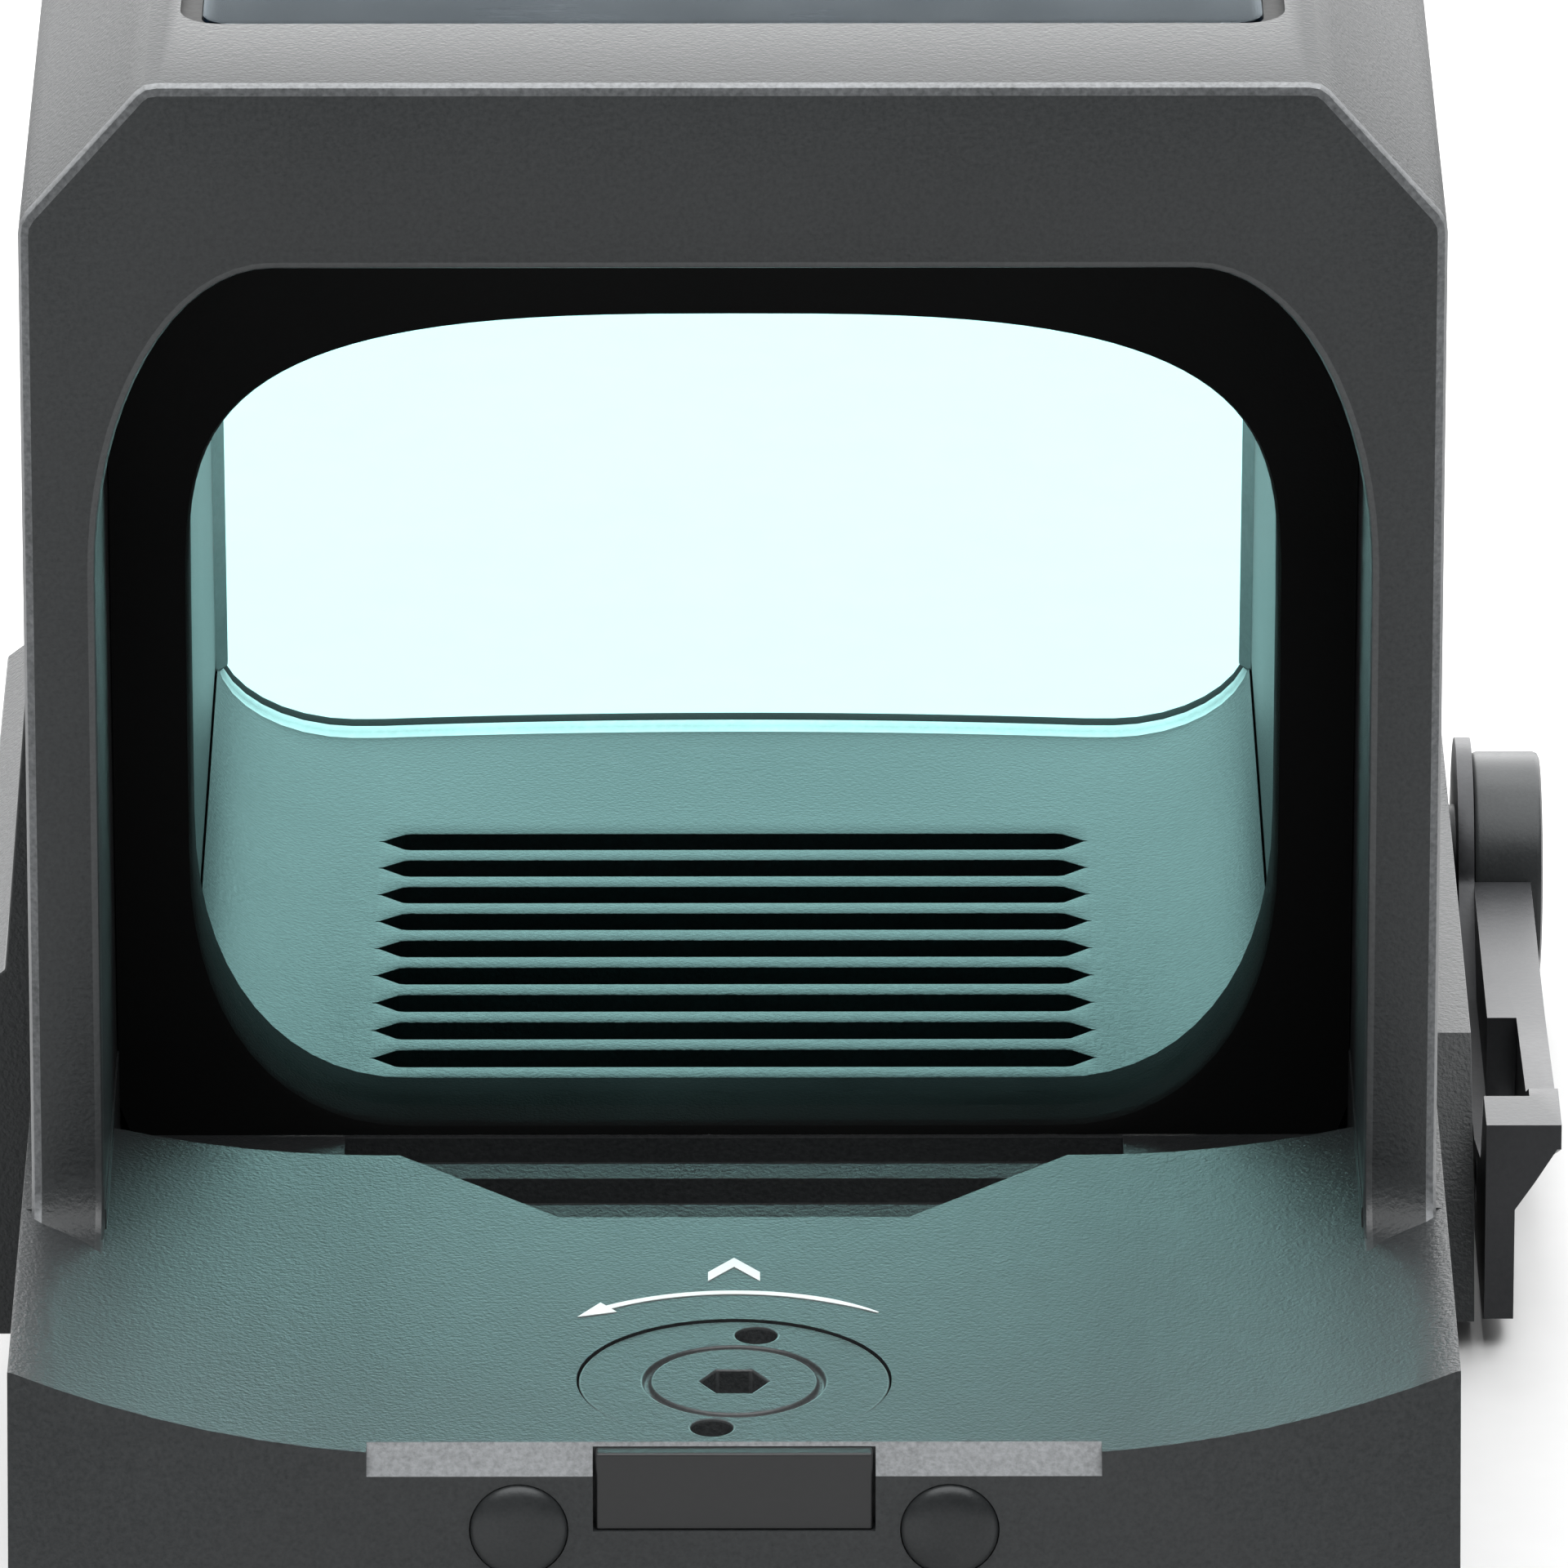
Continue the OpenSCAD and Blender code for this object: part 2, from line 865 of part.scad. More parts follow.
// The side of a jaw that grips the rail, for the left-hand jaw
module grip_points(top_z, outer_x, foot_x) {
    apex_x = rail_w / 2;
    polygon([
        [-outer_x, top_z], [-apex_x - rail_apex_z + top_z, top_z], [-apex_x, rail_apex_z],
        [-apex_x + 2.3, rail_apex_z - 2.3], [-apex_x + 1.6, jaw_bottom_z], [-foot_x, jaw_bottom_z],
        [-outer_x, jaw_bottom_z + outer_x - foot_x]
    ]);
}

module mount_plate() {
    color("#303335")
    difference() {
        union() {
            along_x([-20.3, 20.3])
            polygon([
                [plate_rear_y, 0], [plate_front_y, 0], [plate_front_y, 0.4],
                [nose_y + 0.5, plate_t], [plate_rear_y, plate_t]
            ]);
            along_y([-19, 38])
            grip_points(0, 20.3, 18.8);
        }
        bar_x([-20, 21], bolt_r + 0.3, slot_y, bolt_z);
        bar_x([-21, -16.5], 2.9, slot_y, bolt_z);
        bar_x([-18, 0], 1.5, rod_y, rod_z);
        mount_screw_sites() {
            translate([0, 0, -1])
            cylinder(h = 4, r = 1.5);
            translate([0, 0, -0.01])
            cylinder(h = 1.5, r1 = 2.9, r2 = 1.4);
            translate([0, 0, -7])
            cylinder(h = 7, r = 2.9);
        }
        for (x = [-4.5, 4.5])
            bar_z([-1, 1.9], 1, x, lug_y);
    }
}

module mount_screws() {
    color("#2b2b2d")
    mount_screw_sites()
    difference() {
        union() {
            translate([0, 0, 0.05])
            cylinder(h = 1.45, r1 = 2.75, r2 = 1.3);
            translate([0, 0, 0.05])
            cylinder(h = 6.6, r = 1.22);
        }
        translate([0, 0, -0.1])
        cylinder(h = 1.1, r = 1, $fn = 6);
    }
}

module recoil_lug() {
    color("#56595b")
    difference() {
        block([-7.4, 7.4], [lug_y - 2.5, lug_y + 2.5], [-2.6, 0]);
        for (x = [-4.5, 4.5]) {
            bar_z([-3, 1], 1.05, x, lug_y);
            bar_z([-3, -1.4], 1.9, x, lug_y);
        }
    }
}

module lug_screws() {
    color("#2b2b2d")
    for (x = [-4.5, 4.5])
        screw_z(x, lug_y, -2.55, 1.85, 1.15, 0.98, 3.2, 0.8);
}

module bolt_nut() {
    color("#77797b")
    difference() {
        bar_x([-20.3, -16.5], 2.88, slot_y, bolt_z);
        bar_x([-21, -16], bolt_r + fit, slot_y, bolt_z);
    }
}

module guide_rod() {
    color("#8d8f90")
    union() {
        bar_x([-18, 10], 1.5, rod_y, rod_z);
        bar_x([10 - eps, 17], 1, rod_y, rod_z);
    }
}

module jaw_spring() {
    color("#9a9a9a")
    translate([10, rod_y, rod_z])
    rotate([0, 90, 0])
    coil(1.27, 0.16, 3.5, 5);
}

module moving_jaw() {
    color("#3a3d3f")
    difference() {
        union() {
            intersection() {
                mirror([1, 0, 0])
                along_y([4, 38])
                grip_points(-jaw_gap, 22.7, 20.5);
                jaw_side();
            }
            intersection() {
                block([20.95, 22.7], [4, 38], [-5, 2.3]);
                jaw_side();
            }
        }
        bar_x([5, 30], bolt_r + fit + 0.02, slot_y, bolt_z);
        bar_x([5, 13.5], 1.55, rod_y, rod_z);
        bar_x([13, 18.5], 1.06, rod_y, rod_z);
        bar_x([20.85, 23], 0.85, 12, -3.4);
    }
}

module jaw_side() {
    along_x([0, 30])
    polygon([[4, jaw_bottom_z], [5.6, -1.6], [10, 2.3], [36.5, 2.3], [38, 0.8], [38, -4.5],
        [36.5, jaw_bottom_z]]);
}

module cross_bolt() {
    color("#707375")
    difference() {
        union() {
            bar_x([-17.5, bolt_head_x[0] + eps], bolt_r, slot_y, bolt_z);
            bar_x(bolt_head_x, bolt_head_r, slot_y, bolt_z);
        }
        bar_x([bolt_head_x[1] - 0.4, 26], 2.3, slot_y, bolt_z);
    }
}

module lever_side() {
    tip_y = slot_y - lever_l;
    polygon([
        [tip_y, 1.4], [tip_y + 2.4, 1.4], [tip_y + 4.2, -1.4], [tip_y + 9, -2.7],
        [slot_y - 7, -2.7], [slot_y - 3, 1], [slot_y, 1], [slot_y, -4], [slot_y - 4, -5],
        [tip_y + 1.2, -5.5], [tip_y, -5]
    ]);
}

// The outer arm, with its solid root beside the bolt's head and a finger gap before its tip
module lever_arm() {
    tip_y = slot_y - lever_l;
    difference() {
        union() {
            block([lever_x + 0.5 - eps, lever_outer_x], [17, slot_y], [-2.8, 0]);
            along_x([lever_outer_x - 0.9, lever_outer_x])
            polygon([[tip_y, 1.4], [tip_y + 3, 1.4], [tip_y + 5, 0.5], [17 + eps, 0],
                [17 + eps, -2.8], [tip_y + 5, -1.6], [tip_y, 0.6]]);
        }
        bar_x([lever_x, 30], bolt_head_r + fit, slot_y, bolt_z);
    }
}

module clamp_lever() {
    tip_y = slot_y - lever_l;
    color("#2f3234")
    difference() {
        union() {
            bar_x([lever_x, bolt_head_x[0]], 4.15, slot_y, bolt_z);
            along_x([lever_x, bolt_head_x[0]])
            lever_side();
            intersection() {
                along_x([lever_x, 23.9])
                lever_side();
                block([20, 30], [0, 16], [-10, 10]);
            }
            lever_arm();
            along_y([tip_y, tip_y + 2.4])
            polygon([[23.3, -1.4], [23.9, -1.4], [24.5, -0.5], [25.3, 0.8], [25.3, 1.4], [23.3, 1.4]]);
        }
        bar_x([20, 30], bolt_r + 0.01, slot_y, bolt_z);
        bar_x([lever_x - 1, lever_x + 0.3], 0.7, 12, -3.4);
    }
}

module detent_ball() {
    color("#c9c9c4")
    union() {
        bar_x([21.6, 22.5], 0.8, 12, -3.4);
        translate([22.15, 12, -3.4])
        sphere(r = 0.8);
    }
}

base_body();
hood();
hood_screws();
lens_frame();
lens_rear_element();
lens_front_element();
lens_seal();
solar_cell();
solar_window();
solar_gasket();
elevation_dial();
elevation_screw();
elevation_seal();
windage_dial();
windage_screw();
windage_seal();
carriage_frame();
emitter_block();
emitter_led();
emitter_window();
windage_spring();
elevation_spring();
chamber_cover();
cover_screws();
rear_plate();
dowel_pins();
button_bezel();
button_plus();
button_minus();
switch_board();
switch_domes();
circuit_board();
board_parts();
flex_cable();
battery_contact();
battery_tray();
battery();
tray_seal();
tray_screw();
mount_plate();
mount_screws();
recoil_lug();
lug_screws();
bolt_nut();
guide_rod();
jaw_spring();
moving_jaw();
cross_bolt();
clamp_lever();
detent_ball();
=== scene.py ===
# A hooded red dot finder on a quick release rail clamp
import bpy
import bmesh
import json
import math
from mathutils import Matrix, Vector


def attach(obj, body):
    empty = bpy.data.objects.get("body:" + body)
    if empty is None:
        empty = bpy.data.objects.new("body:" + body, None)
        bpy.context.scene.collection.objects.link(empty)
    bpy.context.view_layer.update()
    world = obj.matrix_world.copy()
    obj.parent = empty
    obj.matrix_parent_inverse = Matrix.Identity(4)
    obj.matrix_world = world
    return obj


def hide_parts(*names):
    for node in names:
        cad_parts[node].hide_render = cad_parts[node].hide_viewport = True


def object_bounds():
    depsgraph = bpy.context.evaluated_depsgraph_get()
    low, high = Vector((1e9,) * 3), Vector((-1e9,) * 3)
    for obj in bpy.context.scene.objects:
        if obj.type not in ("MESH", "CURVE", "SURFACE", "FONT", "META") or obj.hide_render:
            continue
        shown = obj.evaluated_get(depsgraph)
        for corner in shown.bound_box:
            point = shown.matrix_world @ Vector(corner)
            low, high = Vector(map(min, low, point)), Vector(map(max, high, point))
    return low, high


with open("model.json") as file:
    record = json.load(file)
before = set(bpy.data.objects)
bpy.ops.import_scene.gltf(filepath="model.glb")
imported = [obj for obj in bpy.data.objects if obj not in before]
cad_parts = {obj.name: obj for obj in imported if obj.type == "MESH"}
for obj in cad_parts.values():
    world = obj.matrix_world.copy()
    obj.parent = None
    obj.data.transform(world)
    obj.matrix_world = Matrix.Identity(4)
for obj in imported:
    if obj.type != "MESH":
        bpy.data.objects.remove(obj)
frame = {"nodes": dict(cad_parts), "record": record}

cadBox = [list(corner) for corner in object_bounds()]
mm = 0.001
scene = bpy.context.scene
print("frame loaded,", len(frame["nodes"]), "nodes")


# ---- small helpers ----

def linearColor(text):
    parts = [int(text[i:i + 2], 16) / 255 for i in (0, 2, 4)]
    return [c / 12.92 if c <= 0.04045 else ((c + 0.055) / 1.055) ** 2.4 for c in parts] + [1.0]


def addNode(tree, kind, place, **values):
    node = tree.nodes.new(kind)
    node.location = place
    for key, value in values.items():
        node.inputs[key.replace("_", " ")].default_value = value
    return node


def mixed(a, b, t):
    return a + (b - a) * t


def smooth(t):
    t = min(1, max(0, t))
    return t * t * (3 - 2 * t)


def newPiece(name, points, faces, materials, faceSlots=None, smoothAngle=32):
    mesh = bpy.data.meshes.new(name)
    mesh.from_pydata([(x * mm, y * mm, z * mm) for x, y, z in points], [], faces)
    for material in materials:
        mesh.materials.append(material)
    if faceSlots:
        for face, index in zip(mesh.polygons, faceSlots):
            face.material_index = index
    piece = bpy.data.objects.new(name, mesh)
    scene.collection.objects.link(piece)
    tidyMesh(mesh, smoothAngle)
    return piece


# merged doubles, outward normals, smooth faces split at real edges
def tidyMesh(mesh, smoothAngle):
    bm = bmesh.new()
    bm.from_mesh(mesh)
    bmesh.ops.remove_doubles(bm, verts=bm.verts, dist=0.0005 * mm)
    bmesh.ops.dissolve_degenerate(bm, dist=0.0005 * mm, edges=bm.edges)
    bmesh.ops.recalc_face_normals(bm, faces=bm.faces)
    bm.to_mesh(mesh)
    bm.free()
    for face in mesh.polygons:
        face.use_smooth = True
    mesh.set_sharp_from_angle(angle=math.radians(smoothAngle))


# large flat faces keep their own shading beside a rounded edge
def evenNormals(piece):
    even = piece.modifiers.new("even", "WEIGHTED_NORMAL")
    even.weight = 100
    even.keep_sharp = True
    graph = bpy.context.evaluated_depsgraph_get()
    mesh = bpy.data.meshes.new_from_object(piece.evaluated_get(graph))
    piece.modifiers.clear()
    old = piece.data
    piece.data = mesh
    bpy.data.meshes.remove(old)


def bakeModifiers(piece, smoothAngle=32):
    graph = bpy.context.evaluated_depsgraph_get()
    mesh = bpy.data.meshes.new_from_object(piece.evaluated_get(graph))
    piece.modifiers.clear()
    old = piece.data
    piece.data = mesh
    bpy.data.meshes.remove(old)
    tidyMesh(mesh, smoothAngle)
    return piece


# strips of quads between rings of equal length, each ring closed
def loftFaces(rows, count, closeRows=False):
    faces = []
    last = rows if closeRows else rows - 1
    for i in range(last):
        j = (i + 1) % rows
        for k in range(count):
            n = (k + 1) % count
            faces.append((i * count + k, i * count + n, j * count + n, j * count + k))
    return faces


def claim(piece, body, slotName, *replaced):
    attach(piece, body)
    if replaced:
        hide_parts(*replaced)
    return piece


# ---- materials ----

def finish(name, look):
    material = bpy.data.materials.new(name)
    material.use_nodes = True
    tree = material.node_tree
    tree.nodes.clear()
    out = addNode(tree, "ShaderNodeOutputMaterial", (900, 0))
    shader = addNode(tree, "ShaderNodeBsdfPrincipled", (600, 0))
    shader.inputs["Metallic"].default_value = look.get("metallic", 0)
    shader.inputs["IOR"].default_value = look.get("ior", 1.45)
    shader.inputs["Specular IOR Level"].default_value = look.get("specular", 0.5)
    shader.inputs["Coat Weight"].default_value = look.get("coat", 0)
    shader.inputs["Coat Roughness"].default_value = look.get("coatRoughness", 0.1)
    shader.inputs["Transmission Weight"].default_value = look.get("transmission", 0)
    tree.links.new(shader.outputs[0], out.inputs[0])

    # object coordinates are metres, so a scale is one over the pattern's size
    where = addNode(tree, "ShaderNodeTexCoord", (-900, 0))
    stretch = addNode(tree, "ShaderNodeMapping", (-700, 0))
    stretch.inputs["Scale"].default_value = look.get("stretch", (1, 1, 1))
    tree.links.new(where.outputs["Object"], stretch.inputs["Vector"])

    grain = addNode(tree, "ShaderNodeTexNoise", (-450, -250),
                    Scale=1 / (look.get("grain", 0.2) * mm), Detail=look.get("detail", 2.5),
                    Roughness=0.6)
    clouds = addNode(tree, "ShaderNodeTexNoise", (-450, 150),
                     Scale=1 / (look.get("cloud", 9) * mm), Detail=4, Roughness=0.55)
    tree.links.new(stretch.outputs[0], grain.inputs["Vector"])
    tree.links.new(where.outputs["Object"], clouds.inputs["Vector"])

    both = addNode(tree, "ShaderNodeMix", (-220, 100))
    both.data_type = "FLOAT"
    both.inputs[0].default_value = look.get("speckle", 0.35)
    tree.links.new(clouds.outputs["Fac"], both.inputs[2])
    tree.links.new(grain.outputs["Fac"], both.inputs[3])

    ramp = addNode(tree, "ShaderNodeValToRGB", (0, 150))
    ramp.color_ramp.elements[0].position = 0.32
    ramp.color_ramp.elements[1].position = 0.68
    ramp.color_ramp.elements[0].color = linearColor(look["dark"])
    ramp.color_ramp.elements[1].color = linearColor(look["light"])
    tree.links.new(both.outputs[0], ramp.inputs[0])
    tree.links.new(ramp.outputs["Color"], shader.inputs["Base Color"])

    wear = addNode(tree, "ShaderNodeMapRange", (0, -100))
    wear.inputs["From Min"].default_value = 0.3
    wear.inputs["From Max"].default_value = 0.7
    wear.inputs["To Min"].default_value = look["rough"][0]
    wear.inputs["To Max"].default_value = look["rough"][1]
    tree.links.new(both.outputs[0], wear.inputs["Value"])
    tree.links.new(wear.outputs[0], shader.inputs["Roughness"])

    bump = addNode(tree, "ShaderNodeBump", (300, -300), Strength=look.get("bumpStrength", 1),
                   Distance=look.get("bump", 0.01) * mm)
    tree.links.new(grain.outputs["Fac"], bump.inputs["Height"])
    tree.links.new(bump.outputs[0], shader.inputs["Normal"])
    return material


finishes = {}

# aluminium, fine bead blasted and hard anodised black
finishes["black_anodised"] = finish("anodisedAluminium", {
    "dark": "242627", "light": "323435", "rough": (0.36, 0.48), "grain": 0.14, "cloud": 14,
    "bump": 0.03, "speckle": 0.7, "specular": 0.25})

# the same anodising on small broken edges, a little smoother, and painted a little lighter as an
# edge highlight
finishes["eased_edge"] = finish("anodisedAluminiumEdge", {
    "dark": "2e3031", "light": "3e4041", "rough": (0.3, 0.4), "grain": 0.14, "cloud": 6,
    "bump": 0.01, "speckle": 0.5, "specular": 0.4})

# the same anodising painted much lighter, a painted highlight on broken edges that face the light
finishes["painted_highlight_edge"] = finish("anodisedAluminiumHighlight", {
    "dark": "3c3e3f", "light": "66686a", "rough": (0.38, 0.52), "grain": 0.16, "cloud": 5,
    "bump": 0.012, "speckle": 0.6, "specular": 0.5, "metallic": 0.4})

# a pale colour on the rim before the front opening, a painted highlight where the rounded lip
# catches the light
finishes["bare_rim"] = finish("paintedHighlightRim", {
    "dark": "a3a6a6", "light": "c4c6c6", "rough": (0.4, 0.5), "grain": 0.2, "cloud": 5,
    "bump": 0.006, "metallic": 0.2})

# steel with a black oxide bath
finishes["blackened_steel"] = finish("blackOxideSteel", {
    "dark": "252628", "light": "343537", "rough": (0.32, 0.44), "grain": 0.2, "cloud": 6,
    "bump": 0.006, "metallic": 0.35, "specular": 0.35})

# bright turned steel
finishes["steel"] = finish("turnedSteel", {
    "dark": "8f9293", "light": "b5b7b7", "rough": (0.22, 0.34), "grain": 0.12, "cloud": 4,
    "bump": 0.003, "metallic": 1, "stretch": (1, 1, 6)})

# dark ground steel
finishes["steel_pins"] = finish("groundSteel", {
    "dark": "232526", "light": "323435", "rough": (0.3, 0.42), "grain": 0.1, "cloud": 3,
    "bump": 0.004, "metallic": 0.3, "specular": 0.3})

# flat black paint inside the optic, also used as painted shade on the front lip's turn
finishes["flat_black"] = finish("flatBlackPaintAndShade", {
    "dark": "060707", "light": "0b0c0c", "rough": (0.75, 0.9), "grain": 0.1, "cloud": 8,
    "bump": 0.015, "specular": 0.15})

# nitrile rubber
finishes["black_rubber"] = finish("nitrileRubber", {
    "dark": "101111", "light": "191a1a", "rough": (0.6, 0.75), "grain": 0.3, "cloud": 5,
    "bump": 0.012, "specular": 0.35})

# glass filled nylon
finishes["dark_plastic"] = finish("filledNylon", {
    "dark": "151617", "light": "1f2021", "rough": (0.42, 0.55), "grain": 0.25, "cloud": 7,
    "bump": 0.01})

# bronze bearing alloy
finishes["carriage_alloy"] = finish("bearingAlloy", {
    "dark": "8d8069", "light": "a89c82", "rough": (0.3, 0.4), "grain": 0.15, "cloud": 4,
    "bump": 0.004, "metallic": 1})

# free cutting brass
finishes["brass"] = finish("cutBrass", {
    "dark": "a5813a", "light": "c49c4c", "rough": (0.24, 0.34), "grain": 0.15, "cloud": 4,
    "bump": 0.003, "metallic": 1})

# epoxy board with green solder mask
finishes["board_resin"] = finish("solderMask", {
    "dark": "0d3d1c", "light": "155228", "rough": (0.2, 0.3), "grain": 0.4, "cloud": 3,
    "bump": 0.004, "coat": 0.4})

# polyimide film
finishes["flex_film"] = finish("polyimideFilm", {
    "dark": "8f5416", "light": "ad6c22", "rough": (0.18, 0.26), "grain": 0.4, "cloud": 3,
    "bump": 0.002, "coat": 0.5})

# gold plated spring bronze
finishes["gilt_contact"] = finish("giltBronze", {
    "dark": "b8953f", "light": "d8b65a", "rough": (0.16, 0.26), "grain": 0.15, "cloud": 3,
    "bump": 0.002, "metallic": 1})

# nickel plated cell can
finishes["cell_steel"] = finish("nickelPlate", {
    "dark": "a9abac", "light": "cfd0d0", "rough": (0.14, 0.24), "grain": 0.2, "cloud": 4,
    "bump": 0.002, "metallic": 1})

# red epoxy of the light emitter
finishes["led_resin"] = finish("emitterResin", {
    "dark": "8c1410", "light": "b02018", "rough": (0.1, 0.16), "grain": 0.2, "cloud": 1,
    "bump": 0.001, "transmission": 0.4})

# silicon cell with its fine bus lines under the glass
finishes["solar_silicon"] = finish("siliconCell", {
    "dark": "1a2530", "light": "26384a", "rough": (0.2, 0.3), "grain": 0.5, "cloud": 3,
    "bump": 0.002, "stretch": (1, 12, 1)})

# white screen ink
finishes["ink"] = finish("screenInk", {
    "dark": "c9cccb", "light": "dfe1e0", "rough": (0.5, 0.6), "grain": 0.1, "cloud": 2,
    "bump": 0.004})


# glass as a thin tint with a coloured mirror reflection on top
def glassFinish(name, look):
    material = bpy.data.materials.new(name)
    material.use_nodes = True
    tree = material.node_tree
    tree.nodes.clear()
    out = addNode(tree, "ShaderNodeOutputMaterial", (700, 0))
    mix = addNode(tree, "ShaderNodeMixShader", (500, 0))
    tint = addNode(tree, "ShaderNodeBsdfTransparent", (200, 100))
    tint.inputs["Color"].default_value = [*look["tint"], 1]
    mirror = addNode(tree, "ShaderNodeBsdfGlossy", (200, -100))
    mirror.inputs["Roughness"].default_value = look["rough"]
    where = addNode(tree, "ShaderNodeTexCoord", (-700, -200))
    haze = addNode(tree, "ShaderNodeTexNoise", (-500, -200), Scale=1 / (look["haze"] * mm),
                   Detail=3)
    ramp = addNode(tree, "ShaderNodeValToRGB", (-250, -200))
    ramp.color_ramp.elements[0].position = 0.35
    ramp.color_ramp.elements[1].position = 0.65
    ramp.color_ramp.elements[0].color = linearColor(look["mirror"][0])
    ramp.color_ramp.elements[1].color = linearColor(look["mirror"][1])
    rim = addNode(tree, "ShaderNodeFresnel", (200, 300))
    rim.inputs["IOR"].default_value = look["ior"]
    tree.links.new(where.outputs["Object"], haze.inputs["Vector"])
    tree.links.new(haze.outputs["Fac"], ramp.inputs[0])
    tree.links.new(ramp.outputs["Color"], mirror.inputs["Color"])
    tree.links.new(rim.outputs[0], mix.inputs[0])
    tree.links.new(tint.outputs[0], mix.inputs[1])
    tree.links.new(mirror.outputs[0], mix.inputs[2])
    tree.links.new(mix.outputs[0], out.inputs[0])
    return material


# lens glass with a coating that throws red light back
finishes["coated_glass"] = glassFinish("coatedLensGlass", {
    "tint": (0.845, 0.992, 0.988), "rough": 0.02, "haze": 12, "mirror": ("b06a78", "c47c86"),
    "ior": 1.16})
# the small window before the emitter
finishes["clear_glass"] = glassFinish("emitterGlass", {
    "tint": (0.93, 0.97, 0.97), "rough": 0.05, "haze": 4, "mirror": ("c8c8c8", "e0e0e0"),
    "ior": 1.4})
# satin glass over the solar cell
finishes["solar_glass"] = glassFinish("solarCoverGlass", {
    "tint": (0.7, 0.76, 0.8), "rough": 0.16, "haze": 6, "mirror": ("8e979d", "9fa8ae"),
    "ior": 1.5})

nodeSlots = {part["node"]: part["material_slot"] for part in frame["record"]["subparts"]}
for nodeName, nodeObject in frame["nodes"].items():
    nodeObject.data.materials.clear()
    nodeObject.data.materials.append(finishes[nodeSlots[nodeName]])
print("materials made:", len(finishes))


# ---- finished copies of carried-over parts ----

# a merged copy of a part whose real edges are broken, the broken edges in their own finish, which
# on anodised parts is a lighter colour as a painted edge highlight
def brokenEdges(nodeName, pieceName, width, body, segments=2, angle=34, edgeSlot="painted_highlight_edge",
                cutters=()):
    source = frame["nodes"][nodeName]
    mesh = source.data.copy()
    mesh.transform(source.matrix_world)
    bm = bmesh.new()
    bm.from_mesh(mesh)
    bmesh.ops.remove_doubles(bm, verts=bm.verts, dist=0.001 * mm)
    bmesh.ops.dissolve_limit(bm, angle_limit=math.radians(0.5), verts=bm.verts, edges=bm.edges)
    bmesh.ops.recalc_face_normals(bm, faces=bm.faces)
    bm.to_mesh(mesh)
    bm.free()
    piece = bpy.data.objects.new(pieceName, mesh)
    scene.collection.objects.link(piece)
    slotName = nodeSlots[nodeName]
    mesh.materials.clear()
    mesh.materials.append(finishes[slotName])
    mesh.materials.append(finishes[edgeSlot])
    for cutter in cutters:
        cut = piece.modifiers.new("cut", "BOOLEAN")
        cut.operation = "DIFFERENCE"
        cut.solver = "EXACT"
        cut.object = cutter
    bevel = piece.modifiers.new("brokenEdge", "BEVEL")
    bevel.width = width * mm
    bevel.segments = segments
    bevel.limit_method = "ANGLE"
    bevel.angle_limit = math.radians(angle)
    bevel.use_clamp_overlap = True
    bevel.material = 1
    bevel.harden_normals = False
    bakeModifiers(piece)
    evenNormals(piece)
    for cutter in cutters:
        bpy.data.objects.remove(cutter)
    return claim(piece, body, slotName, nodeName)


def cutterBox(x, y, z):
    bpy.ops.mesh.primitive_cube_add(size=1)
    cutter = bpy.context.object
    cutter.scale = ((x[1] - x[0]) * mm, (y[1] - y[0]) * mm, (z[1] - z[0]) * mm)
    cutter.location = ((x[0] + x[1]) / 2 * mm, (y[0] + y[1]) / 2 * mm, (z[0] + z[1]) / 2 * mm)
    cutter.hide_render = True
    return cutter


# ---- hood ----

hoodSize = {"foot": 10.4, "top": 45.3, "rear": -25.5, "front": 22.0, "lean": 0.2143,
            "footRadius": 2.0, "edge": 0.3, "mouthEdge": 0.25, "lip": 0.95, "rim": 0.35}
lensTilt = math.radians(6)
lensPivot = (-11.4, 8.2)


# a point of the lens's own plane, at x, y along its axis and z up its face
def onLensPlane(x, y, z):
    return (x, lensPivot[0] + y * math.cos(lensTilt) - z * math.sin(lensTilt),
            lensPivot[1] + y * math.sin(lensTilt) + z * math.cos(lensTilt))


# where the plane y on the lens's axis crosses a given height
def lensPlaneY(y, z):
    return lensPivot[0] + y / math.cos(lensTilt) - (z - lensPivot[1]) * math.tan(lensTilt)


# half of an arch from its foot to its middle, as matched samples
def archHalf(legTop, cornerPoint, topX, topZ):
    points = []
    footSteps = (0, 0.12, 0.28, 0.5, 0.75, 1.05, 1.4, 1.7, 2.0)
    side = cornerPoint(0)[0]
    for step in footSteps:
        points.append((side, hoodSize["foot"] + step))
    for i in range(1, 7):
        points.append((side, mixed(hoodSize["foot"] + 2, legTop, i / 6)))
    for i in range(1, 17):
        points.append(cornerPoint(i / 16))
    for i in range(1, 7):
        points.append((topX * (1 - i / 6), topZ))
    return points


def outerCorner(t):
    keys = [(0, 20.3, 40.8), (1, 20.26, 41.13), (2, 20.08, 41.45), (14, 16.92, 45.05),
            (15, 16.66, 45.24), (16, 16.3, 45.3)]
    place = t * 16
    for (t0, x0, z0), (t1, x1, z1) in zip(keys, keys[1:]):
        if place <= t1:
            return mixed(x0, x1, (place - t0) / (t1 - t0)), mixed(z0, z1, (place - t0) / (t1 - t0))


def mouthCorner(t):
    return 13.1 + 5.1 * math.cos(t * math.pi / 2), 30.5 + 9.26 * math.sin(t * math.pi / 2)


def tunnelCorner(t):
    return 10.1 + 6 * math.cos(t * math.pi / 2), 29.4 + 6 * math.sin(t * math.pi / 2)


def bothHalves(half):
    return half + [(-x, z) for x, z in reversed(half[:-1])]


# outlines moved out along their own normals
def offsetOutline(points, d):
    moved = []
    last = len(points) - 1
    for i, (x, z) in enumerate(points):
        if i == 0 or i == last:
            moved.append((x + math.copysign(d, x), z))
            continue
        ax, az = points[i - 1]
        bx, bz = points[i + 1]
        length = math.hypot(bx - ax, bz - az)
        moved.append((x + d * (bz - az) / length, z - d * (bx - ax) / length))
    return moved


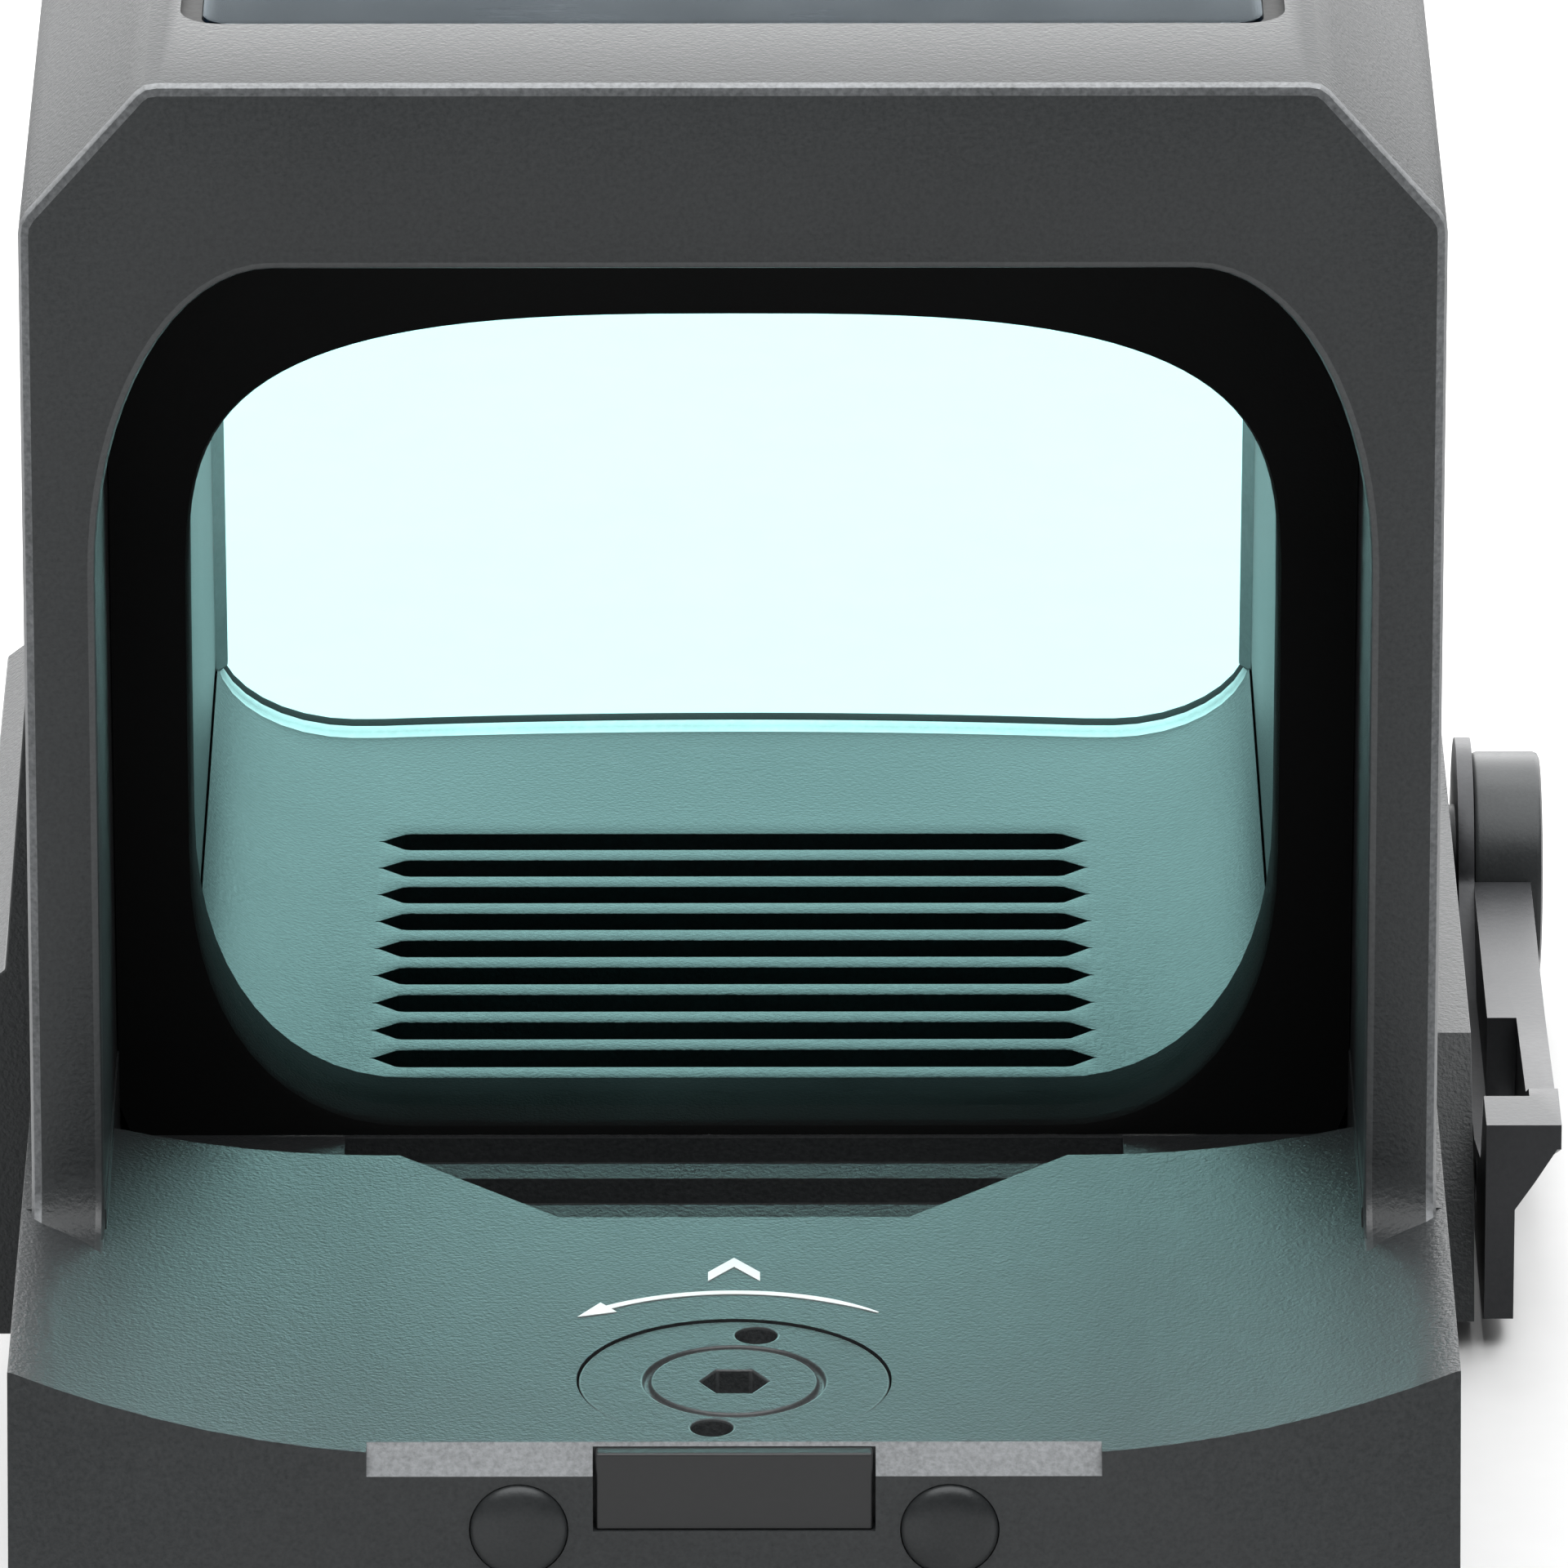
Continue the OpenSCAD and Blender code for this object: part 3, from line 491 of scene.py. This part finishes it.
def hoodRearY(z):
    r = hoodSize["footRadius"]
    rise = min(r, max(0, z - hoodSize["foot"]))
    return hoodSize["rear"] - r + math.sqrt(max(0, r * r - (r - rise) ** 2))


def hoodFrontY(z):
    return hoodSize["front"] - (z - hoodSize["foot"]) * hoodSize["lean"]


def makeHood():
    outer = bothHalves(archHalf(40.8, outerCorner, 16.3, hoodSize["top"]))
    mouth = bothHalves(archHalf(30.5, mouthCorner, 13.1, 39.76))
    tunnel = bothHalves(archHalf(29.4, tunnelCorner, 10.1, 35.4))
    e = hoodSize["edge"]
    m = hoodSize["mouthEdge"]
    lip = hoodSize["lip"]
    rows = []

    def row(outline, d, depth):
        rows.append([(x, depth(z), z) for x, z in offsetOutline(outline, d)])

    row(outer, 0, lambda z: hoodFrontY(z) - e)
    row(outer, 0, lambda z: hoodRearY(z) + e)
    row(outer, -0.3 * e, lambda z: hoodRearY(z) + 0.3 * e)
    row(outer, -e, hoodRearY)
    row(mouth, m, hoodRearY)
    row(mouth, 0.3 * m, lambda z: hoodRearY(z) + 0.3 * m)
    row(mouth, 0, lambda z: hoodRearY(z) + m)
    row(mouth, 0, lambda z: lensPlaneY(1.5, z))
    row(tunnel, 0, lambda z: lensPlaneY(1.5, z))
    rim = hoodSize["rim"]
    row(tunnel, 0, lambda z: hoodFrontY(z) - lip - 1.2)
    row(tunnel, -rim, lambda z: hoodFrontY(z) - lip - 0.6)
    row(tunnel, -rim, lambda z: hoodFrontY(z) - lip - 0.25)
    for i in range(1, 7):
        turn = i / 6 * math.pi / 2
        row(tunnel, (lip + rim) * (1 - math.cos(turn)) - rim,
            lambda z, s=math.sin(turn): hoodFrontY(z) - lip + lip * s)
    row(outer, -e, hoodFrontY)
    row(outer, -0.3 * e, lambda z: hoodFrontY(z) - 0.3 * e)

    count = len(outer)
    points = [p for r in rows for p in r]
    faces = []
    slots = []
    for i in range(len(rows)):
        j = (i + 1) % len(rows)
        for k in range(count - 1):
            faces.append((i * count + k, i * count + k + 1, j * count + k + 1, j * count + k))
            # slot 1, the hood's rear outer edge, takes the much lighter edge finish as a painted
            # highlight
            # slot 2 is flat black: black paint on the lens frame face, painted shade on the front
            # lip's inner turn
            # slot 3, the rim step before the front lip, takes a pale colour as a painted highlight
            # slot 4, the mouth's edge, takes the slightly lighter edge finish as a painted
            # highlight
            slots.append(1 if i in (1, 2) else 4 if i in (4, 5) else 2 if i in (7, 11, 12, 13)
                         else 3 if i == 9 else 0)
    for k in (0, count - 1):
        faces.append([i * count + k for i in range(len(rows))])
        slots.append(0)
    hood = newPiece("hoodShell", points, faces,
                    [finishes["black_anodised"], finishes["painted_highlight_edge"], finishes["flat_black"],
                     finishes["bare_rim"], finishes["eased_edge"]], slots, 24)
    return hood


hood = makeHood()


# a flat slab with round corners, its top edge eased where a top is given
def roundedSlab(name, half, y, z, radius, top=0.0, steps=8, finishList=()):
    corners = [(half - radius, y[1] - radius, 0), (-half + radius, y[1] - radius, 90),
               (-half + radius, y[0] + radius, 180), (half - radius, y[0] + radius, 270)]
    levels = [(z[0], 0), (z[1] - top, 0)]
    if top:
        levels += [(z[1] - 0.3 * top, 0.3 * top), (z[1], top)]
    points = []
    for level, inset in levels:
        for cx, cy, start in corners:
            for i in range(steps + 1):
                a = math.radians(start + 90 * i / steps)
                r = radius - inset
                points.append((cx + r * math.cos(a), cy + r * math.sin(a), level))
    count = 4 * (steps + 1)
    faces = loftFaces(len(levels), count)
    faces.append(tuple(range(count)))
    faces.append(tuple(range((len(levels) - 1) * count, len(levels) * count)))
    return newPiece(name, points, faces, list(finishList))


# the pocket for the solar cell, cut through the roof's top face
pocketSize = {"half": 15.8, "y": (-20.0, 4.2), "z": (43.8, 46.5), "corner": 1.2}
pocket = roundedSlab("solarPocket", pocketSize["half"], pocketSize["y"], pocketSize["z"],
                     pocketSize["corner"])
cut = hood.modifiers.new("pocket", "BOOLEAN")
cut.operation = "DIFFERENCE"
cut.solver = "EXACT"
cut.object = pocket
bakeModifiers(hood, 24)
bpy.data.objects.remove(pocket)
claim(hood, "base", "black_anodised", "hood")
print("hood done")


# ---- lens cell and lens ----

# the opening: a flat bottom, round lower corners, straight sides and a flattened arch
apertureSize = {"flat": 9.5, "bottom": 8.55, "low": 17.5, "high": 24.5, "side": 15.9,
                "cornerWidth": 6.4, "cornerDrop": 8.95, "rise": 10.35}


def apertureHalf(d=0.0, steps=14):
    s = apertureSize
    points = []
    for i in range(5):
        points.append((s["flat"] * i / 5, s["bottom"] - d))
    for i in range(steps + 1):
        a = i / steps * math.pi / 2
        points.append((s["flat"] + (s["cornerWidth"] + d) * math.sin(a) ** 0.9,
                       s["low"] - (s["cornerDrop"] + d) * math.cos(a) ** 0.88))
    for i in range(1, 5):
        points.append((s["side"] + d, mixed(s["low"], s["high"], i / 5)))
    for i in range(2 * steps + 1):
        a = i / (2 * steps) * math.pi / 2
        points.append(((s["side"] + d) * math.cos(a) ** 0.667,
                       s["high"] + (s["rise"] + d) * math.sin(a) ** 0.486))
    return points


# right half up, then the left half down, closed
def closedOutline(half):
    return half + [(-x, z) for x, z in reversed(half[1:-1])]


def planeZ(z):
    return (z - 8.04) / math.cos(lensTilt)


# the mouth's outline seen along the aperture's own samples, from its middle
def outwardTo(points, limitX, bottom, topCurve):
    hits = []
    for x, z in points:
        dx, dz = x, z - 21.5
        reach = 1.0
        for step in range(4000):
            px, pz = dx * reach, 21.5 + dz * reach
            if abs(px) > limitX or pz < bottom or pz > topCurve(px):
                break
            reach += 0.0005
        hits.append((dx * reach, 21.5 + dz * reach))
    return hits


def mouthTop(x):
    side = abs(x) - 13.1
    if side <= 0:
        return 39.72
    return 30.5 + 9.22 * math.sqrt(max(0, 1 - (side / 5.06) ** 2))


def makeLensCell():
    aperture = closedOutline(apertureHalf())
    seat = closedOutline(apertureHalf(0.3))
    seatSoft = closedOutline(apertureHalf(0.09))
    edge = outwardTo(aperture, 18.16, 8.21, mouthTop)
    rows = [(edge, -1.5), (seat, -1.5), (seatSoft, -1.41), (aperture, -1.2), (aperture, 1.45),
            (edge, 1.45)]
    points = []
    for outline, depth in rows:
        points += [onLensPlane(x, depth, planeZ(z)) for x, z in outline]
    faces = loftFaces(len(rows), len(aperture), closeRows=True)
    cell = newPiece("lensCell", points, faces, [finishes["flat_black"]])
    return claim(cell, "base", "flat_black", "lens_frame", "lens_seal")


makeLensCell()


# a lens element whose two faces are slightly domed
def makeLensElement(name, depth, bulge, nodeName):
    outline = closedOutline(apertureHalf(0.02))
    rings = 10
    points = []
    for face in (0, 1):
        for ring in range(rings):
            size = 1 - ring / rings
            for x, z in outline:
                dome = bulge[face] * (1 - size * size)
                points.append(onLensPlane(x * size, depth[face] + dome,
                                          planeZ(21.8 + (z - 21.8) * size)))
    count = len(outline)
    half = rings * count
    faces = []
    for face in (0, 1):
        for ring in range(rings - 1):
            for k in range(count):
                n = (k + 1) % count
                a = face * half + ring * count
                faces.append((a + k, a + n, a + count + n, a + count + k))
        faces.append(tuple(face * half + (rings - 1) * count + k for k in range(count)))
    for k in range(count):
        n = (k + 1) % count
        faces.append((k, n, half + n, half + k))
    lens = newPiece(name, points, faces, [finishes["coated_glass"]])
    return claim(lens, "base", "coated_glass", nodeName)


makeLensElement("lensRearElement", (-0.3, 0.58), (-0.25, 0.35), "lens_rear_element")
makeLensElement("lensFrontElement", (0.62, 1.4), (0.35, 0.1), "lens_front_element")
print("lens done")


# ---- solar cell in the roof ----

solarCover = roundedSlab("solarCover", 15.2, (-19.4, 3.6), (44.3, 45.12), 0.9, 0.12, 8,
                         [finishes["solar_glass"]])
claim(solarCover, "base", "solar_glass", "solar_window")
print("roof done")


# ---- tunnel floor ----

floorSize = {"half": 16.05, "y": (-9.8, 22.05), "level": 8.2, "under": 7.2, "filletX": 4.3,
             "filletZ": 2.8, "grooveHalf": 10.8, "grooveWidth": 1.35, "grooveDepth": 0.85,
             "pitch": 2.24, "first": -9.7, "count": 10, "lip": 1.0, "crown": 0.2, "rim": 0.2}


def floorLevel(x, y):
    f = floorSize
    z = f["level"]
    side = abs(x) - (f["half"] + 0.05 - f["filletX"])
    if side > 0:
        t = min(1, side / f["filletX"])
        z += f["filletZ"] * (1 - math.sqrt(max(0, 1 - t * t)))
    z += f["crown"] * max(0, 1 - (x / 11) ** 2) * smooth((y - 12) / 9)
    z += f["rim"] * smooth((y - 20.1) / 0.5)
    over = y - (f["y"][1] - f["lip"])
    if over > 0:
        z -= f["lip"] * (1 - math.sqrt(max(0, 1 - min(1, over / f["lip"]) ** 2)))
    return z


def makeTunnelFloor():
    f = floorSize
    edges = [-f["half"], -15.9, -15.6, -15.2, -14.7, -14.1, -13.4, -12.6, -11.9, -11.4]
    tips = [-10.9, -10.75, -10.6, -10.45, -10.3, -10.1, -9.9]
    middle = [-9.0 + i for i in range(0, 10)]
    left = edges + tips + middle
    columns = left + [-v for v in reversed(left[:-1])]
    spread = f["grooveWidth"] / 2
    rowsAt = [("flat", f["y"][0])]
    for i in range(f["count"]):
        middleY = f["first"] + i * f["pitch"] + spread
        rowsAt += [("groove", middleY, side, part) for side, part in
                   ((-1, 2), (-1, 1), (-1, 0), (1, 0), (1, 1), (1, 2))]
    last = f["first"] + f["count"] * f["pitch"]
    y = last
    while y < 19.8:
        rowsAt.append(("flat", y))
        y += 1.0
    rowsAt += [("flat", v) for v in (20.1, 20.22, 20.35, 20.48, 20.6, 20.8)]
    for i in range(9):
        rowsAt.append(("flat", f["y"][1] - f["lip"] + f["lip"] * math.sin(i / 8 * math.pi / 2)))
    points = []
    for spec in rowsAt:
        for x in columns:
            if spec[0] == "flat":
                points.append((x, spec[1], floorLevel(x, spec[1])))
                continue
            _, middleY, side, part = spec
            taper = min(1, max(0, (f["grooveHalf"] - abs(x)) / 0.75))
            reach = spread * taper
            soft = 0.05 * taper
            y = middleY + side * (reach + (soft if part == 2 else 0 if part == 1 else -soft))
            y += side * 0.012 * part
            drop = f["grooveDepth"] * taper if part == 0 else 0
            points.append((x, y, floorLevel(x, y) - drop - (0.02 * taper if part == 1 else 0)))
    count = len(columns)
    rows = len(rowsAt)
    top = len(points)
    faces = []
    slots = []
    for i in range(rows - 1):
        for k in range(count - 1):
            faces.append((i * count + k, i * count + k + 1, (i + 1) * count + k + 1,
                          (i + 1) * count + k))
            between = (points[i * count][1] + points[(i + 1) * count][1]) / 2
            # slot 1, the floor rim's rising face, takes a pale colour as a painted highlight
            # slot 2, the rim's top and the lip turning down, is flat black as painted shade
            slots.append(1 if 20.1 < between < 20.62 else 2 if between > 20.62 else 0)
    points += [(x, f["y"][0], f["under"]) for x in columns]
    points += [(x, f["y"][1], f["under"]) for x in columns]
    a, b = top, top + count
    for k in range(count - 1):
        faces.append((a + k, a + k + 1, k + 1, k))
        faces.append(((rows - 1) * count + k, (rows - 1) * count + k + 1, b + k + 1, b + k))
    for k in (0, count - 1):
        ring = [i * count + k for i in range(rows)] + [b + k, a + k]
        faces.append(tuple(ring))
    faces.append(tuple([a + k for k in range(count)] + [b + k for k in reversed(range(count))]))
    slots += [0] * (len(faces) - len(slots))
    bed = newPiece("tunnelFloor", points, faces,
                   [finishes["black_anodised"], finishes["bare_rim"], finishes["flat_black"]],
                   slots, 28)
    return claim(bed, "base", "black_anodised")


makeTunnelFloor()
baseCut = cutterBox((-16.06, 16.06), (floorSize["y"][0] - 0.01, 23), (floorSize["under"], 12.5))
# the housing's broken edges are painted a little lighter as an edge highlight
base = brokenEdges("base_body", "housing", 0.14, "base", cutters=[baseCut], edgeSlot="eased_edge")
base.data.materials.append(finishes["painted_highlight_edge"])
# the rear chamfer of the deck takes the much lighter edge finish, a painted highlight where it
# faces the light
for face in base.data.polygons:
    x, y, z = (v / mm for v in face.center)
    if y < -39.2 and 8.7 < z < 9.6 and abs(x) < 10.5 and 0.5 < face.normal.z < 0.9:
        face.material_index = 2
print("housing done")


# ---- the other metal parts, edges broken ----

# part, new name, width of the broken edge in mm, body
edged = [
    ("mount_plate", "railPlate", 0.25, "base"),
    ("moving_jaw", "clampJaw", 0.25, "jaw"),
    ("clamp_lever", "clampLever", 0.1, "lever"),
    ("cross_bolt", "crossBolt", 0.25, "lever"),
    ("button_bezel", "buttonBezel", 0.2, "base"),
    ("button_plus", "brighterButton", 0.18, "plus"),
    ("button_minus", "dimmerButton", 0.18, "minus"),
    ("elevation_dial", "elevationDial", 0.12, "elevation_dial"),
    ("windage_dial", "windageDial", 0.12, "windage_dial"),
    ("chamber_cover", "chamberCover", 0.15, "base"),
    ("recoil_lug", "recoilLug", 0.2, "base"),
    ("rear_plate", "rearPlate", 0.08, "base"),
    ("battery_tray", "batteryTray", 0.12, "tray"),
    ("tray_screw", "trayScrew", 0.1, "tray_screw"),
]
for nodeName, pieceName, width, body in edged:
    # anodised parts get the slightly lighter edge finish, a painted edge highlight
    edgeSlot = {"black_anodised": "eased_edge"}.get(nodeSlots[nodeName], nodeSlots[nodeName])
    brokenEdges(nodeName, pieceName, width, body, edgeSlot=edgeSlot)
print("edged parts done:", len(edged))


# ---- screws, one turned screw set out on points ----

# a group that puts a copy of one object on every point and gives it a finish
def copiesOnPoints():
    group = bpy.data.node_groups.new("copiesOnPoints", "GeometryNodeTree")
    group.interface.new_socket("Geometry", in_out="INPUT", socket_type="NodeSocketGeometry")
    group.interface.new_socket("Copy", in_out="INPUT", socket_type="NodeSocketObject")
    group.interface.new_socket("Turn", in_out="INPUT", socket_type="NodeSocketFloat")
    group.interface.new_socket("Finish", in_out="INPUT", socket_type="NodeSocketMaterial")
    group.interface.new_socket("Geometry", in_out="OUTPUT", socket_type="NodeSocketGeometry")
    given = addNode(group, "NodeGroupInput", (-800, 0))
    info = addNode(group, "GeometryNodeObjectInfo", (-500, -150))
    number = addNode(group, "GeometryNodeInputIndex", (-800, -350))
    angle = addNode(group, "ShaderNodeMath", (-500, -350))
    angle.operation = "MULTIPLY"
    turn = addNode(group, "ShaderNodeCombineXYZ", (-300, -350))
    place = addNode(group, "GeometryNodeInstanceOnPoints", (-50, 0))
    real = addNode(group, "GeometryNodeRealizeInstances", (150, 0))
    paint = addNode(group, "GeometryNodeSetMaterial", (350, 0))
    result = addNode(group, "NodeGroupOutput", (550, 0))
    group.links.new(given.outputs["Geometry"], place.inputs["Points"])
    group.links.new(given.outputs["Copy"], info.inputs["Object"])
    group.links.new(number.outputs[0], angle.inputs[0])
    group.links.new(given.outputs["Turn"], angle.inputs[1])
    group.links.new(angle.outputs[0], turn.inputs["Z"])
    group.links.new(turn.outputs[0], place.inputs["Rotation"])
    group.links.new(info.outputs["Geometry"], place.inputs["Instance"])
    group.links.new(place.outputs[0], real.inputs[0])
    group.links.new(real.outputs[0], paint.inputs["Geometry"])
    group.links.new(given.outputs["Finish"], paint.inputs["Material"])
    group.links.new(paint.outputs[0], result.inputs[0])
    return group


copyGroup = copiesOnPoints()


# a screw with its head down at zero, its hex socket opening downwards
def screwMesh(name, size):
    steps = 48
    rings = []

    def ring(radius, level, hexed=False):
        points = []
        for i in range(steps):
            a = 2 * math.pi * i / steps
            r = radius
            if hexed:
                r = radius * math.cos(math.pi / 6) / math.cos(a % (math.pi / 3) - math.pi / 6)
            points.append((r * math.cos(a), r * math.sin(a), level))
        rings.append(points)

    ease = size["ease"]
    ring(size["socket"], size["socketDepth"], True)
    ring(size["socket"], ease * 0.5, True)
    ring(size["socket"] + ease, 0, True)
    ring(size["head"] - ease, 0)
    ring(size["head"] - 0.3 * ease, 0.3 * ease)
    ring(size["head"], ease)
    ring(size["headUnder"], size["headHeight"])
    ring(size["shank"], size["headHeight"])
    ring(size["shank"], size["length"] - 0.2)
    ring(size["shank"] - 0.2, size["length"])
    points = [p for r in rings for p in r]
    faces = loftFaces(len(rings), steps)
    faces.append(tuple(range(steps)))
    faces.append(tuple(range((len(rings) - 1) * steps, len(rings) * steps)))
    return newPiece(name, points, faces, [finishes["blackened_steel"]])


def setOut(name, screw, places, nodeName, turn):
    mesh = bpy.data.meshes.new(name)
    mesh.from_pydata([(x * mm, y * mm, z * mm) for x, y, z in places], [], [])
    piece = bpy.data.objects.new(name, mesh)
    scene.collection.objects.link(piece)
    nodesModifier = piece.modifiers.new("copies", "NODES")
    nodesModifier.node_group = copyGroup
    keys = {item.name: item.identifier for item in copyGroup.interface.items_tree
            if item.in_out == "INPUT"}
    nodesModifier[keys["Copy"]] = screw
    nodesModifier[keys["Turn"]] = turn
    nodesModifier[keys["Finish"]] = finishes["blackened_steel"]
    bakeModifiers(piece)
    bpy.data.objects.remove(screw)
    return claim(piece, "base", "blackened_steel", nodeName)


mountScrew = screwMesh("mountScrew", {"socket": 0.98, "socketDepth": 0.95, "head": 2.72,
                                      "headUnder": 1.28, "headHeight": 1.5, "shank": 1.2,
                                      "length": 6.55, "ease": 0.12})
setOut("mountScrewSet", mountScrew, [(x, y, 0.06) for x in (-13, 13) for y in (-16.5, 20.4)],
       "mount_screws", 0.7)
coverScrew = screwMesh("coverScrew", {"socket": 0.5, "socketDepth": 0.35, "head": 1.03,
                                      "headUnder": 1.03, "headHeight": 0.6, "shank": 0.66,
                                      "length": 3.9, "ease": 0.08})
setOut("coverScrewSet", coverScrew, [(x, y, 0.56) for x in (-9.3, 9.3) for y in (-37.4, -22.8)],
       "cover_screws", 0.45)
lugScrew = screwMesh("lugScrew", {"socket": 0.8, "socketDepth": 0.7, "head": 1.82,
                                  "headUnder": 1.82, "headHeight": 1.15, "shank": 0.96,
                                  "length": 4.3, "ease": 0.1})
setOut("lugScrewSet", lugScrew, [(x, -7.74, -2.54) for x in (-4.5, 4.5)], "lug_screws", 0.3)
print("screws done")


# ---- domed pin heads in the rear face ----

# a round piece turned about the line of sight's direction
def turned(name, profile, finishList, place, steps=40):
    points = []
    for along, radius in profile:
        for i in range(steps):
            a = 2 * math.pi * i / steps
            u, v = radius * math.cos(a), radius * math.sin(a)
            points.append((place[0] + u, place[1] + along, place[2] + v))
    faces = loftFaces(len(profile), steps)
    faces.append(tuple(range(steps)))
    faces.append(tuple(range((len(profile) - 1) * steps, len(profile) * steps)))
    return newPiece(name, points, faces, finishList)


pinSize = {"x": 6.1, "z": 7.1, "radius": 1.38, "rise": 0.42, "rear": -40.0, "length": 2.2}
for side, label in ((-1, "pinLeft"), (1, "pinRight")):
    p = pinSize
    dome = [(p["length"], p["radius"] * 0.8), (p["length"], p["radius"]), (0.0, p["radius"])]
    for i in range(1, 9):
        a = i / 8 * math.pi / 2 * 0.98
        dome.append((-p["rise"] * math.sin(a), p["radius"] * (1 - 0.02) * math.cos(a) + 0.004))
    pin = turned(label, dome, [finishes["steel_pins"]], (side * p["x"], p["rear"], p["z"]))
    claim(pin, "base", "steel_pins", "dowel_pins")
print("pins done")


# ---- white index marks beside the elevation dial ----

markSize = {"x": 0.0, "y": -34.7, "z": 9.5, "thick": 0.02, "radius": 6.45, "line": 0.26,
            "from": 50.0, "to": 124.0, "head": 1.15, "headHalf": 0.42}


def flatMark(name, outline):
    low, high = markSize["z"] - 0.01, markSize["z"] + markSize["thick"]
    points = [(x, y, low) for x, y in outline] + [(x, y, high) for x, y in outline]
    n = len(outline)
    faces = [tuple(reversed(range(n))), tuple(range(n, 2 * n))]
    faces += [(i, (i + 1) % n, n + (i + 1) % n, n + i) for i in range(n)]
    return claim(newPiece(name, points, faces, [finishes["ink"]]), "base", "black_anodised")


def arcMark():
    m = markSize
    inner, outer = [], []
    for i in range(25):
        t = i / 24
        a = math.radians(mixed(m["from"], m["to"], t))
        half = m["line"] / 2 * min(1, 0.25 + 4 * t)
        for radius, side in ((m["radius"] - half, inner), (m["radius"] + half, outer)):
            side.append((m["x"] + radius * math.cos(a), m["y"] + radius * math.sin(a)))
    a = math.radians(m["to"])
    tip = math.radians(m["to"] + math.degrees(m["head"] / m["radius"]))
    head = [(m["x"] + (m["radius"] + m["headHalf"]) * math.cos(a),
             m["y"] + (m["radius"] + m["headHalf"]) * math.sin(a)),
            (m["x"] + m["radius"] * math.cos(tip), m["y"] + m["radius"] * math.sin(tip)),
            (m["x"] + (m["radius"] - m["headHalf"]) * math.cos(a),
             m["y"] + (m["radius"] - m["headHalf"]) * math.sin(a))]
    return outer + head + list(reversed(inner))


flatMark("turnArrow", arcMark())
chevron = {"y": -26.65, "half": 0.75, "height": 1.5, "line": 0.42}
c = chevron
flatMark("upChevron", [
    (-c["half"], c["y"] - c["height"] / 2), (0, c["y"] + c["height"] / 2 - c["line"]),
    (c["half"], c["y"] - c["height"] / 2), (c["half"], c["y"] - c["height"] / 2 + c["line"] * 1.6),
    (0, c["y"] + c["height"] / 2 + c["line"] * 0.6),
    (-c["half"], c["y"] - c["height"] / 2 + c["line"] * 1.6)])
print("marks done")


# ---- camera, floor and lights ----

cameraData = bpy.data.cameras.new("camera")
cameraData.lens = 444.375
cameraData.sensor_width = 36
camera = bpy.data.objects.new("camera", cameraData)
scene.collection.objects.link(camera)
camera.location = Vector((0, -543.738, 223.081)) * mm
aim = Vector((1.4689, -18, 21.2695)) * mm
camera.rotation_euler = (aim - camera.location).to_track_quat("-Z", "Y").to_euler()
cameraData.clip_start = 0.01
cameraData.clip_end = 100
scene.camera = camera
scene.view_settings.view_transform = "Standard"

floorMesh = bpy.data.meshes.new("studioFloor")
reach = 6.0
level = cadBox[0][2]
floorMesh.from_pydata([(-reach, -reach, level), (reach, -reach, level), (reach, reach, level),
                       (-reach, reach, level)], [], [(0, 1, 2, 3)])
floorMesh.materials.append(finish("paleFloor", {
    "dark": "b6b6b6", "light": "bcbcbc", "rough": (0.7, 0.8), "grain": 2, "cloud": 200,
    "bump": 0.001, "specular": 0.2}))
studioFloor = bpy.data.objects.new("studioFloor", floorMesh)
scene.collection.objects.link(studioFloor)

world = bpy.data.worlds.new("studio")
scene.world = world
world.use_nodes = True
sky = world.node_tree.nodes["Background"]
sky.inputs["Color"].default_value = linearColor("f2f4f5")
sky.inputs["Strength"].default_value = 0.25


def softbox(name, place, aimAt, size, power, color="ffffff"):
    data = bpy.data.lights.new(name, "AREA")
    data.shape = "RECTANGLE"
    data.size = size[0]
    data.size_y = size[1]
    data.energy = power
    data.color = linearColor(color)[:3]
    lamp = bpy.data.objects.new(name, data)
    scene.collection.objects.link(lamp)
    lamp.location = place
    lamp.rotation_euler = (Vector(aimAt) - Vector(place)).to_track_quat("-Z", "Y").to_euler()
    return lamp


softbox("overheadBox", (0, -0.1, 1.5), (0, 0, 0), (2.2, 2.2), 78)
softbox("backBox", (0, 2.2, 1.6), (0, 0, 0.4), (6.0, 3.2), 270)
print("stage done")
